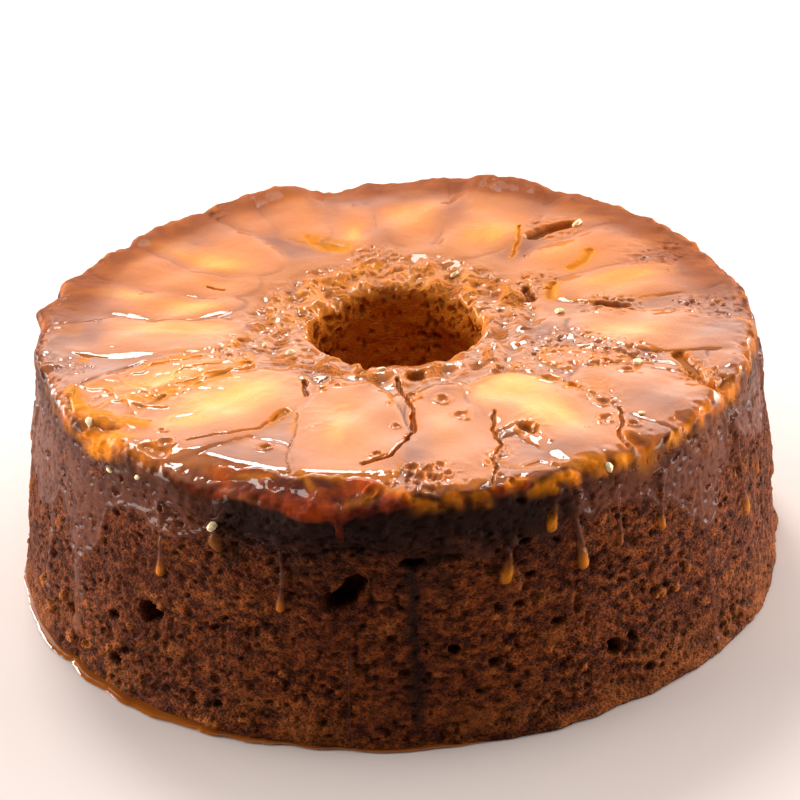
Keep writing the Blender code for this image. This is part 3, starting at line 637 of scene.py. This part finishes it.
def line_distance(route):
    """Distance in millimetres on the top from a bent line through the given points."""
    nearest = np.full(X.shape, 99.0)
    rows = np.nonzero(HEIGHT[:, 0] > 64)[0]
    rows = slice(rows[0], rows[-1] + 1)
    here_x = flat_x[rows] + 0.5 * grain(X[rows], Y[rows], FLAT[rows], 3, 46)
    here_y = flat_y[rows] + 0.5 * grain(X[rows], Y[rows], FLAT[rows], 3, 47)
    for (start_x, start_y), (end_x, end_y) in zip(route, route[1:]):
        run_x = end_x - start_x
        run_y = end_y - start_y
        share = (here_x - start_x) * run_x + (here_y - start_y) * run_y
        share = np.clip(share / (run_x * run_x + run_y * run_y), 0, 1)
        off = np.hypot(here_x - start_x - share * run_x, here_y - start_y - share * run_y)
        nearest[rows] = np.minimum(nearest[rows], off)
    return nearest


not_in_hole = 1 - IN_HOLE
SHADE = 0.25 * seam_line
RIDGE = np.zeros_like(X)
for half, height, amber, red, painted_shade, route in STROKES:
    off = line_distance(route) / ((0.42 if half < 1.7 else 0.7) if height < 0 else 1.2) / half
    shape = 0.6 * bell(off, 1) * not_in_hole * (RADIUS > 26)
    if height < 0:
        shape = 0.75 * (1 - ramp(off, 0.5, 1.5)) * not_in_hole
    top_relief += height * shape
    halo = bell(off, 2) * not_in_hole
    AMBER = np.maximum(AMBER, amber * (halo if height < 0 else np.minimum(1, 1.8 * shape)))
    # A dent gets painted glow as red and painted shade at its deepest
    if height < 0:
        TOFFEE_AND_GLOW = np.maximum(TOFFEE_AND_GLOW, red * shape)
        SHADE = np.maximum(SHADE, painted_shade * shape ** 3)
    elif half < 1:
        RIDGE = np.maximum(RIDGE, 1.6 * shape)
for strength, spot in spread_over(CLEAR_CARAMEL, 4):
    AMBER = np.maximum(AMBER, strength * spot * not_in_hole)
    top_relief -= 0.5 * strength * spot * not_in_hole

# Bubbles that rose through the caramel and set or burst: x, y, radius. Random ones follow,
# most of them in the rough patches.
BUBBLES = [
    (-39, -81, 2), (-68.5, -77, 2.4), (-70, -69, 1.4), (13, -56, 2), (18, -67, 2.4), (4, -53, 2.6),
    (37, -77, 2.4), (25, -97, 1.5), (60, -62, 2.8), (60, -73.5, 2.6), (68, -77, 1.8),
    (69.5, -42, 2), (-7, -90, 1.7), (-1, -72, 1.3), (-2.5, -59, 1.1), (64, -36, 1.6),
    (31, -36, 1.8), (36, -37.5, 1.6), (3, -98, 2.2), (7.5, -100, 2.4), (11, -98, 1.8),
    (5, -104, 2.2), (10, -105, 2), (2, -109, 1.8), (7, -110, 2), (13, -103, 1.6), (-9, -108, 1.8),
    (-46, -26.5, 2.2), (-18, -44.5, 1.4), (52, -50.5, 2), (-23, -46, 1.2), (28, -104, 1.5),
    (31, -107, 1.6), (24, -112, 1.6),
]
placed = len(BUBBLES)
for _ in range(300):
    turn = rng.uniform(0, 2 * math.pi)
    out = 114 * math.sqrt(rng.uniform(0.06, 1))
    row = int(np.argmin(np.abs(RADIUS[:, 0] - out) + 100 * (HEIGHT[:, 0] < 70)))
    roughness = ROUGH[row, int(turn / (2 * math.pi) * COLUMNS) % COLUMNS]
    if rng.random() < 0.12 + 0.88 * roughness:
        BUBBLES.append((out * math.cos(turn), out * math.sin(turn), rng.uniform(0.45, 1.1)))
for number, (centre_x, centre_y, size) in enumerate(BUBBLES):
    out = math.hypot(centre_x, centre_y)
    near = np.nonzero((np.abs(RADIUS[:, 0] - out) < 2.5 * size) & (HEIGHT[:, 0] > 68))[0]
    patch = grid_patch(near, math.degrees(math.atan2(centre_y, centre_x)),
                       int(2.5 * size / (2 * math.pi * out / COLUMNS)) + 1)
    ripple = 1 + 0.35 * grain(X[patch], Y[patch], FLAT[patch], 2, 48)
    off = np.hypot(flat_x[patch] - centre_x, flat_y[patch] - centre_y) / (size * ripple)
    strong = 0.34 if number < placed else 0.26
    top_relief[patch] += strong * min(size, 1.8) * bell(off - 1, 0.28)
    top_relief[patch] -= strong * min(size, 1.8) * bell(off, 0.75)
    if number < placed:
        AMBER[patch] = np.maximum(AMBER[patch], 0.35 * bell(off, 0.9))

GOLD = ROUGH * lip * (0.5 + 0.5 * ramp(skin_grain(2.6, 88), -0.3, 0.5))
GOLD = np.maximum(GOLD, 0.9 * bell(HEIGHT - 74, 2.2) * ~outer)
hollow = ROUGH * ramp(-skin_grain(3, 81) - 0.6 * skin_grain(1.45, 82), 0.2, 0.9)
TOFFEE_AND_GLOW = np.maximum(TOFFEE_AND_GLOW, 0.55 * hollow)
AMBER = np.maximum(AMBER, 0.5 * ROUGH * ramp(skin_grain(4, 89), 0.3, 0.7) * on_top)
# Painted shade: the bare crumb darker in its pits, holes and level cracks, less under glaze, plus the
# painted shade of seams and dents
PAINTED_SHADE = 0.7 * PIT * np.maximum(np.maximum(ON_WALL, IN_HOLE), torn_rim)
PAINTED_SHADE = np.clip(PAINTED_SHADE * (1 - 0.5 * GLAZE) + SHADE, 0, 1)
# Painted shade: dark just under the foot of the rim fringe, where it glows red
fringe_foot = fringe * (1 - ramp(rise, hangs_to, hangs_to + 0.03))
PAINTED_SHADE = np.maximum(PAINTED_SHADE, 0.6 * red_here * fringe_foot * (AMBER < 0.3))
# How much of a mirror the caramel is: little where it is thin, soaked in, in painted shade, deep or
# torn open
WET = ramp(GLAZE, 0.2, 0.9) * (0.25 + 0.75 * on_top) * (1 - 0.55 * deep_back * on_top)
WET = WET * np.clip(1 - 0.95 * SOAKED_AND_SHADE - PAINTED_SHADE, 0, 1)
WET = WET * (1 - 0.92 * AMBER) * (1 - 0.85 * np.clip(TOFFEE_AND_GLOW, 0, 1))
WET = WET * (1 - 0.9 * deep_back * ramp(RADIUS, 92, 104))
WET = np.maximum(WET, 0.9 * ramp(np.maximum(RIDGE, WRINKLE), 0.45, 0.85) * on_top)

# All the relief together, along the skin's own outward direction
crumb_share = np.maximum(np.maximum(ON_WALL, IN_HOLE), 0.7 * torn_rim)
relief = crumb_share * crumb * (1 - 0.65 * GLAZE * (1 - 0.7 * SOAKED_AND_SHADE)) + on_top * top_relief
relief += ON_WALL * film + fringe_lumps
heave = heave + slice_lift * (1 - 0.65 * ON_WALL)
ground = ramp(HEIGHT, 0, 3)
radius_now = RADIUS + away + OUT_R * relief * np.maximum(ground, 0.35)
height_now = HEIGHT + heave * (OUT_Z > -0.5) + OUT_Z * relief
height_now = np.maximum(height_now, 0)
PLACE = np.stack([radius_now * np.cos(ANGLE), radius_now * np.sin(ANGLE), height_now], axis=-1)

# Inside the inner zone only every second column is used, and the row where that changes is
# straightened between those columns so that no gap opens
first_fine = int(np.nonzero((RADIUS[:, 0] > INNER_ZONE) & (section[:, 1] > 70))[0][0])
PLACE[first_fine, 1::2] = 0.5 * (PLACE[first_fine, 0::2]
                                 + np.roll(PLACE[first_fine, 0::2], -1, axis=0))

along_columns = np.roll(PLACE, -1, axis=1) - np.roll(PLACE, 1, axis=1)
along_rows = np.gradient(PLACE, axis=0)
NORMAL = np.cross(along_rows, along_columns)
NORMAL /= np.linalg.norm(NORMAL, axis=-1, keepdims=True) + 1e-12
if NORMAL[first_fine, 0, 2] < 0:
    NORMAL = -NORMAL

number_of = np.arange(ROWS * COLUMNS).reshape(ROWS, COLUMNS)


def quads_across(step):
    """Quads between each row and the next, the given number of columns wide."""
    right = np.roll(number_of, -step, axis=1)
    return np.stack([number_of[:-1], right[:-1], right[1:], number_of[1:]], axis=-1)


in_coarse_rows = (np.arange(ROWS - 1) < first_fine)[:, None, None]
QUADS = np.where(in_coarse_rows, quads_across(2), quads_across(1))
USED = np.ones((ROWS - 1, COLUMNS), dtype=bool)
USED[:first_fine, 1::2] = False
FIELDS = {"apple": APPLE, "flesh": FLESH, "caramel": GLAZE, "amber": AMBER, "toffee_and_glow": TOFFEE_AND_GLOW,
          "painted_shade": PAINTED_SHADE, "hole": IN_HOLE, "soaked_and_shade": SOAKED_AND_SHADE, "gold": GOLD, "pale": PALE, "wet": WET,
          "brown": np.clip(BROWN * on_top, 0, 1), "upper": on_top}


def add_object(name, data):
    """Add an object that shows a mesh, light or camera to the scene."""
    item = bpy.data.objects.new(name, data)
    bpy.context.scene.collection.objects.link(item)
    return item


def skin_piece(name, chosen, skirt=0):
    """Mesh of the chosen quads of the skin, with its fields and the whole skin's normals."""
    quads = QUADS[chosen & USED][:, ::-1]
    corners, inverse = np.unique(quads, return_inverse=True)
    quads = inverse.reshape(quads.shape)
    points = PLACE.reshape(-1, 3)[corners] * 0.001
    mesh = bpy.data.meshes.new(name)
    mesh.from_pydata(points.tolist(), [], quads.tolist())
    for label, values in FIELDS.items():
        layer = mesh.attributes.new(label, "FLOAT", "POINT")
        layer.data.foreach_set("value", values.ravel()[corners].astype(np.float32))
    normals = NORMAL.reshape(-1, 3)[corners]
    piece = add_object(name, mesh)
    if skirt:
        body = bmesh.new()
        body.from_mesh(mesh)
        rim_edges = [edge for edge in body.edges if edge.is_boundary]
        grown = bmesh.ops.extrude_edge_only(body, edges=rim_edges)["geom"]
        fresh = [item for item in grown if isinstance(item, bmesh.types.BMVert)]
        for vert in fresh:
            flat = Vector((vert.co.x, vert.co.y, 0))
            vert.co -= flat.normalized() * 0.001
            vert.co.z -= skirt * 0.001
        below = [edge for edge in body.edges if edge.is_boundary]
        bmesh.ops.holes_fill(body, edges=below, sides=0)
        bmesh.ops.triangulate(body, faces=[face for face in body.faces if len(face.verts) > 4])
        body.to_mesh(mesh)
        body.free()
        normals = np.concatenate([normals, np.tile((0.0, 0.0, -1.0), (len(mesh.vertices)
                                                                      - len(normals), 1))])
    for polygon in mesh.polygons:
        polygon.use_smooth = True
    mesh.normals_split_custom_set_from_vertices(normals.tolist())
    return piece


face_owner = OWNER[:-1]
face_height = section[:-1, 1][:, None]
face_outer = outer[:-1]
is_hole = (np.arange(ROWS - 1)[:, None] < first_fine) & (IN_HOLE[:-1] > 0.5)
is_wall = face_outer & (face_height < CRUMB_LEVEL - RIM_DROP) & (face_owner < 0)
is_top = ~is_hole & ~is_wall & (face_owner < 0)

slice_pieces = []
for number in range(len(APPLE_SLICES)):
    piece = skin_piece(f"glazed_apple_slice_{number + 1:02d}", face_owner == number, SLICE_SKIRT)
    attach(piece, "root")
    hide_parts(f"apple_slice_{number + 1:02d}")
    slice_pieces.append(piece)
body_pieces = [skin_piece("top_between_slices", is_top), skin_piece("hole_wall", is_hole)]
quarter = (np.degrees(ANGLE[:-1]) // 90).astype(int)
for number, label in enumerate(("back_right", "back_left", "front_left", "front_right")):
    body_pieces.append(skin_piece(f"wall_{label}", is_wall & (quarter == number)))


# Underside: the flat face that the cake stands on, plain brown crumb from the pan's open side
UNDER_ROWS = 10
share = np.linspace(0, 1, UNDER_ROWS + 1)[:, None, None]
under = PLACE[-1][None] * (1 - share) + PLACE[0][None] * share
under[..., 2] = 0
under[1:-1, :, 2] = 0.15 + 0.15 * grain(under[1:-1, :, 0], under[1:-1, :, 1],
                                        np.zeros_like(under[1:-1, :, 0]), 6, 95)
ids = np.arange((UNDER_ROWS + 1) * COLUMNS).reshape(UNDER_ROWS + 1, COLUMNS)
rings = np.stack([ids[:-1], ids[1:], np.roll(ids, -1, axis=1)[1:], np.roll(ids, -1, axis=1)[:-1]],
                 axis=-1)
mesh = bpy.data.meshes.new("underside")
mesh.from_pydata((under.reshape(-1, 3) * 0.001).tolist(), [], rings.reshape(-1, 4).tolist())
body_pieces.append(add_object("underside", mesh))
for piece in body_pieces:
    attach(piece, "root")
    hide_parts("cake_body")


# Baked crumb under caramel: a wheat and egg foam browned by sugar, matt with fine pores where
# it is bare, and wet-looking with sharp highlights where the caramel film lies on it.
def linear(code):
    """sRGB hex colour as linear light."""
    parts = [int(code[at:at + 2], 16) / 255 for at in (0, 2, 4)]
    return tuple(part / 12.92 if part <= 0.04045 else ((part + 0.055) / 1.055) ** 2.4
                 for part in parts) + (1,)


def add_node(tree, kind, settings=None, **inputs):
    """Add a node, set its properties, and set or link its inputs by name or number."""
    node = tree.nodes.new(kind)
    for label, value in (settings or {}).items():
        setattr(node, label, value)
    for label, value in inputs.items():
        socket = node.inputs[int(label[1:])] if label[0] == "i" and label[1:].isdigit() \
            else node.inputs[label.replace("_", " ")]
        if isinstance(value, bpy.types.NodeSocket):
            tree.links.new(value, socket)
        else:
            socket.default_value = value
    return node


def new_material(name):
    """A material with nodes, with its tree and its surface shader."""
    material = bpy.data.materials.new(name)
    material.use_nodes = True
    return material, material.node_tree, material.node_tree.nodes["Principled BSDF"]


def glazed_cake(name):
    """Crumb, apple and caramel in one surface, told apart by the fields on the mesh."""
    material, tree, surface = new_material(name)
    field = {label: add_node(tree, "ShaderNodeAttribute", {"attribute_name": label}).outputs[2]
             for label in FIELDS}
    place = add_node(tree, "ShaderNodeTexCoord").outputs["Object"]
    flat_place = add_node(tree, "ShaderNodeMapping", Vector=place, Scale=(1, 1, 1.7)).outputs[0]

    # Patches of browned crumb of 1 to 4 mm, blotches of 25 mm, and pores of about 1 mm
    tint = add_node(tree, "ShaderNodeTexNoise", Vector=flat_place, Scale=280, Detail=6,
                    Roughness=0.7).outputs[0]
    blotch = add_node(tree, "ShaderNodeTexNoise", Vector=place, Scale=38, Detail=3).outputs[0]
    cloudy = add_node(tree, "ShaderNodeTexNoise", Vector=place, Scale=75, Detail=5,
                      Roughness=0.6).outputs[0]
    pores = add_node(tree, "ShaderNodeTexVoronoi", Vector=flat_place, Scale=850,
                     Randomness=1).outputs["Distance"]
    # Shares from 0 to 1 out of those patterns: source, its lower and upper end, share at each
    shares = {label: add_node(tree, "ShaderNodeMapRange", Value=value, From_Min=low, From_Max=high,
                              To_Min=first, To_Max=last).outputs[0]
              for label, value, low, high, first, last in (
                  ("light_grain", tint, 0.42, 0.74, 0, 1),
                  ("dull", blotch, 0.4, 0.65, 0, 0.5),
                  # Painted shade: near black at the middle of each pore
                  ("painted_pore_shade", pores, 0.14, 0.36, 1, 0),
                  ("film", blotch, 0.35, 0.7, 0, 1),
                  ("thin", field["flesh"], 0.05, 0.45, 0, 1),
                  ("thick", field["flesh"], 0.35, 0.95, 0, 1),
                  ("cloud", cloudy, 0.42, 0.72, 0, 0.45),
                  ("toffee_and_glow_cloud", cloudy, 0.42, 0.64, 0, 1),
                  ("rough", tint, 0.3, 0.7, 0.95, 0.7))}
    # The toffee colour, dark to bright red-orange, also paints the glow in the rim fringe and in dents
    film_colour, toffee_and_glow_colour = (
        add_node(tree, "ShaderNodeMix", {"data_type": "RGBA"}, i0=shares[label], i6=linear(first),
                 i7=linear(last)).outputs[2]
        for label, first, last in (("film", "481c0a", "643018"), ("toffee_and_glow_cloud", "4c0f02", "b84406")))
    for label in ("thin", "thick", "cloud"):
        shares[label] = add_node(tree, "ShaderNodeMath", {"operation": "MULTIPLY"},
                                 i0=shares[label], i1=field["upper"]).outputs[0]

    # Colours in layers, each over the ones before: how much of it lies where, and its colour
    amounts = {**field, **shares}
    shown = linear("321003")
    layers = (
        ("light_grain", 1, linear("a24e14")), ("dull", 1, linear("481a06")),
        # Paler crumb, then painted shade near black in the pores
        ("pale", 0.6, linear("b8682c")), ("painted_pore_shade", 1, linear("140501")),
        ("hole", 0.8, linear("de7610")), ("caramel", 0.75, film_colour),
        ("upper", 0.95, linear("bc6c38")), ("cloud", 1, linear("b0602a")),
        ("gold", 0.8, linear("de8826")), ("apple", 0.8, linear("d4762a")),
        ("thin", 0.85, linear("e0861e")), ("thick", 0.95, linear("eeae34")),
        # Near-black soaked crumb, with painted shade under the rim
        ("brown", 0.88, linear("8c4826")), ("soaked_and_shade", 0.92, linear("130401")),
        # Set toffee in the hollows, with painted glow of light through the rim fringe and dents
        ("toffee_and_glow", 0.95, toffee_and_glow_colour), ("amber", 0.92, linear("e08408")),
        # Painted shade of pits, seams, dent depths and the foot of the rim fringe
        ("painted_shade", 1, linear("150703")),
    )
    for label, share, colour in layers:
        part = add_node(tree, "ShaderNodeMath", {"operation": "MULTIPLY", "use_clamp": True},
                        i0=amounts[label], i1=share)
        shown = add_node(tree, "ShaderNodeMix", {"data_type": "RGBA"}, i0=part.outputs[0],
                         i6=shown, i7=colour).outputs[2]
    tree.links.new(shown, surface.inputs["Base Color"])

    # Bare crumb is fully matt; the caramel lies on it as a clear coat that mirrors sharply
    tree.links.new(shares["rough"], surface.inputs["Roughness"])
    tree.links.new(field["wet"], surface.inputs["Coat Weight"])
    for label, value in (("Specular IOR Level", 0.15), ("IOR", 1.45), ("Coat Roughness", 0.06),
                         ("Coat IOR", 1.49), ("Subsurface Radius", (0.006, 0.0025, 0.001)),
                         ("Subsurface Scale", 0.6)):
        surface.inputs[label].default_value = value
    glow = add_node(tree, "ShaderNodeMath", {"operation": "MAXIMUM"}, i0=field["amber"],
                    i1=shares["thin"])
    sink = add_node(tree, "ShaderNodeMath", {"operation": "MULTIPLY"}, i0=glow.outputs[0], i1=0.4)
    tree.links.new(sink.outputs[0], surface.inputs["Subsurface Weight"])

    # Fine relief: pores and grains of the bare crumb, drowned where caramel fills them
    grains = add_node(tree, "ShaderNodeTexNoise", Vector=flat_place, Scale=1000, Detail=4,
                      Roughness=0.65).outputs[0]
    both = add_node(tree, "ShaderNodeMath", {"operation": "ADD"}, i0=pores, i1=grains)
    bare = add_node(tree, "ShaderNodeMath", {"operation": "MULTIPLY_ADD"}, i0=field["caramel"],
                    i1=-0.9, i2=1)
    height = add_node(tree, "ShaderNodeMath", {"operation": "MULTIPLY"}, i0=both.outputs[0],
                      i1=bare.outputs[0])
    bump = add_node(tree, "ShaderNodeBump", Height=height.outputs[0], Strength=0.6,
                    Distance=0.0012)
    tree.links.new(bump.outputs[0], surface.inputs["Normal"])
    return material


crumb_look = glazed_cake("baked_crumb_under_caramel")
apple_look = glazed_cake("cooked_apple_under_caramel")
for piece in body_pieces:
    piece.data.materials.append(crumb_look)
for piece in slice_pieces:
    piece.data.materials.append(apple_look)


# Nut chips: bits of blanched almond and walnut chopped with a knife, stuck in the caramel.
# On the wall: angle, rise, size. On the top: x, y, size.
WALL_NUTS = ((-118, 0.86, 3.6), (-58.8, 0.94, 3), (-139, 0.88, 2))
TOP_NUTS = (
    (52, 1.8, 3.4), (-32.9, -19, 3), (-4.7, -33.2, 2.6), (20, 34.6, 2.8),
    (73, -37, 3.6), (62, 67, 3.6), (-91.5, -60.5, 3.2), (71.5, -71, 2.2),
    (-85.5, -93, 1.8), (-41, -13, 2.4),
)


def nut_chip(name, size, chip_rng):
    """Small chopped chip with flat cut faces and softened edges."""
    body = bmesh.new()
    bmesh.ops.create_icosphere(body, subdivisions=1, radius=0.5)
    for vert in body.verts:
        vert.co *= chip_rng.uniform(0.7, 1.35)
        vert.co = Vector((vert.co.x * 0.8, vert.co.y * 1.15, vert.co.z * 0.6)) * size * 0.001
    bmesh.ops.subdivide_edges(body, edges=body.edges, cuts=1, smooth=0.15, use_grid_fill=True)
    mesh = bpy.data.meshes.new(name)
    body.to_mesh(mesh)
    body.free()
    return add_object(name, mesh)


def skin_point(angle, row):
    """Point and outward direction of the skin in metres, at an angle in degrees and a row."""
    column = int(round((angle % 360) / 360 * COLUMNS)) % COLUMNS
    column -= column % 2
    return Vector(PLACE[row, column] * 0.001), Vector(NORMAL[row, column])


def two_tone(name, scale, first, last, roughness, ior):
    """Material whose colour wavers softly between two."""
    material, tree, surface = new_material(name)
    place = add_node(tree, "ShaderNodeTexCoord").outputs["Object"]
    noise = add_node(tree, "ShaderNodeTexNoise", Vector=place, Scale=scale, Detail=4)
    colour = add_node(tree, "ShaderNodeMix", {"data_type": "RGBA"}, i0=noise.outputs[0],
                      i6=linear(first), i7=linear(last))
    tree.links.new(colour.outputs[2], surface.inputs["Base Color"])
    surface.inputs["Roughness"].default_value = roughness
    surface.inputs["IOR"].default_value = ior
    return material


spots = []
for angle, level, size in WALL_NUTS:
    row = wall_rows[int(np.argmin(np.abs(rise[wall_rows, 0] - level)))]
    spots.append((*skin_point(angle, row), size))
for x, y, size in TOP_NUTS:
    level_rows = np.nonzero(HEIGHT[:, 0] > 71)[0]
    row = level_rows[int(np.argmin(np.abs(RADIUS[level_rows, 0] - math.hypot(x, y))))]
    spots.append((*skin_point(math.degrees(math.atan2(y, x)), row), size))
# Dry white nut flesh with creamy specks of 1.4 mm, which stands out pale on the caramel
nut_look = two_tone("blanched_nut", 700, "d2a763", "fdf1cc", 0.35, 1.47)
chip_rng = np.random.default_rng(23)
for number, (point, outward, size) in enumerate(spots):
    chip = nut_chip(f"nut_chip_{number + 1:02d}", size, chip_rng)
    spin = Matrix.Rotation(chip_rng.uniform(0, 6), 4, "Z")
    chip.matrix_world = Matrix.Translation(point + outward * 0.0003) @ (
        outward.to_track_quat("Z", "Y").to_matrix().to_4x4() @ spin)
    chip.data.materials.append(nut_look)
    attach(chip, "root")


# Caramel pool: syrup that ran down and set as a thin clear rim round the foot, widest at the
# front left. Angle, and how far it reaches out from the foot in millimetres.
POOL_REACH = (
    (-180, 0.3), (-172, 0.6), (-160, 1.4), (-148, 2.6), (-135, 2.8), (-122, 2),
    (-112, 1.2), (-100, 0.6), (-88, 1), (-76, 0.3), (180, 0.3),
)
POOL_STEPS = 9
pool_columns = np.nonzero((degrees_round[0] > -179) & (degrees_round[0] < -80))[0]
pool_columns = pool_columns[np.argsort(degrees_round[0][pool_columns])]
pool_angle = ANGLE[0][pool_columns]
pool_degrees = degrees_round[0][pool_columns]
pool_reach = np.interp(pool_degrees, *np.array(POOL_REACH).T)
pool_reach = pool_reach * ramp(pool_degrees, -179, -172) * (1 - ramp(pool_degrees, -88, -80))
waver = grain(125 * np.cos(pool_angle), 125 * np.sin(pool_angle), 0 * pool_angle, 9, 96)
pool_reach = pool_reach * (1 + 0.35 * waver) + 0.2
foot_radius = np.hypot(PLACE[-1, pool_columns, 0], PLACE[-1, pool_columns, 1])
pool_points = []
for share in np.linspace(-0.35, 1, POOL_STEPS):
    radius = foot_radius + pool_reach * share + 2 * min(share, 0)
    height = 0.05 + 0.9 * math.sqrt(1 - max(share, 0) ** 2) * np.minimum(1, pool_reach / 2.5)
    pool_points.append(np.stack([radius * np.cos(pool_angle), radius * np.sin(pool_angle),
                                 height], axis=1))
pool_points = np.array(pool_points)
ids = np.arange(pool_points.shape[0] * pool_points.shape[1]).reshape(pool_points.shape[:2])
pool_quads = np.stack([ids[:-1, :-1], ids[1:, :-1], ids[1:, 1:], ids[:-1, 1:]], axis=-1)
mesh = bpy.data.meshes.new("caramel_pool")
mesh.from_pydata((pool_points.reshape(-1, 3) * 0.001).tolist(), [], pool_quads.reshape(-1, 4).tolist())
for polygon in mesh.polygons:
    polygon.use_smooth = True
pool = add_object("caramel_pool", mesh)
# Clear syrup over the pale floor, smooth and shiny, in amber and brown clouds of 17 mm
pool.data.materials.append(two_tone("clear_set_caramel", 60, "6e2e08", "a8601c", 0.12, 1.49))
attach(pool, "root")


# Stage: a plain pale floor, and soft studio light from low panels at both sides, large ones
# behind and overhead and a small lamp, so that the wet top mirrors and the front stays in shade.
floor_mesh = bpy.data.meshes.new("floor")
floor_mesh.from_pydata([(-4.0, -4.0, 0.0), (4.0, -4.0, 0.0), (4.0, 4.0, 0.0), (-4.0, 4.0, 0.0)],
                       [], [(0, 1, 2, 3)])
floor = add_object("floor", floor_mesh)
FLOOR_DROP = 0.0004
floor.location.z = -FLOOR_DROP
# Matt white paper, a little warm
paper, _, paper_surface = new_material("white_paper")
paper_surface.inputs["Base Color"].default_value = linear("e6dad6")
paper_surface.inputs["Roughness"].default_value = 0.8
floor_mesh.materials.append(paper)

# Soft panels: name, place, height aimed at, width, height of the panel, watts, colour
SOFTBOXES = (
    ("light_behind", (0, 1.5, 0.95), 0.05, 2.4, 1.2, 20, "fffaf4"),
    ("light_left", (-1.6, 0.4, 0.32), 0.04, 2.4, 0.6, 70, "fffaf4"),
    ("light_right", (1.6, 0.4, 0.32), 0.04, 2.4, 0.6, 70, "fffaf4"),
    ("light_top", (0, -0.1, 1.4), 0, 1.3, 1.3, 5, "fffaf4"),
    ("light_above", (-0.2, 0.85, 1.15), 0, 0.35, 0.35, 10, "fffcf8"),
)
for name, place, aim_height, width, tall, power, colour in SOFTBOXES:
    panel = bpy.data.lights.new(name, "AREA")
    panel.shape = "RECTANGLE"
    panel.size = width
    panel.size_y = tall
    panel.energy = power
    panel.color = linear(colour)[:3]
    lamp = add_object(name, panel)
    lamp.location = place
    turn = (Vector((0, 0, aim_height)) - Vector(place)).to_track_quat("-Z", "Y")
    lamp.rotation_euler = turn.to_euler()
world = bpy.data.worlds.new("room")
bpy.context.scene.world = world
world.use_nodes = True
seen = add_node(world.node_tree, "ShaderNodeLightPath").outputs["Is Camera Ray"]
strength = add_node(world.node_tree, "ShaderNodeMapRange", Value=seen, To_Min=0.08, To_Max=0.9)
room = world.node_tree.nodes["Background"]
room.inputs[0].default_value = linear("fdfaf7")
world.node_tree.links.new(strength.outputs[0], room.inputs[1])


# Camera: as the photograph was taken, from a little under a metre with a long lens
CAMERA_DISTANCE = 0.922
CAMERA_PITCH = math.radians(27.78)
CAMERA_AIM_UP = math.radians(0.567)
CAMERA_ROLL = math.radians(-2.58)
CAMERA_LENS = 129.1
SENSOR_WIDTH = 36
forward = Vector((0, math.cos(CAMERA_PITCH), -math.sin(CAMERA_PITCH)))
middle = Vector((0, 0, 0.5 * CAKE_HEIGHT * 0.001))
eye = middle - CAMERA_DISTANCE * forward
right = Vector((1, 0, 0))
up = right.cross(forward)
right_now = right * math.cos(CAMERA_ROLL) + up * math.sin(CAMERA_ROLL)
up_now = up * math.cos(CAMERA_ROLL) - right * math.sin(CAMERA_ROLL)
forward_now = forward * math.cos(CAMERA_AIM_UP) + up_now * math.sin(CAMERA_AIM_UP)
up_now = right_now.cross(forward_now)
lens = bpy.data.cameras.new("camera")
lens.lens = CAMERA_LENS
lens.sensor_width = SENSOR_WIDTH
camera = add_object("camera", lens)
basis = Matrix((right_now, up_now, -forward_now)).transposed().to_4x4()
camera.matrix_world = Matrix.Translation(eye) @ basis
bpy.context.scene.camera = camera
bpy.context.scene.view_settings.view_transform = "Standard"
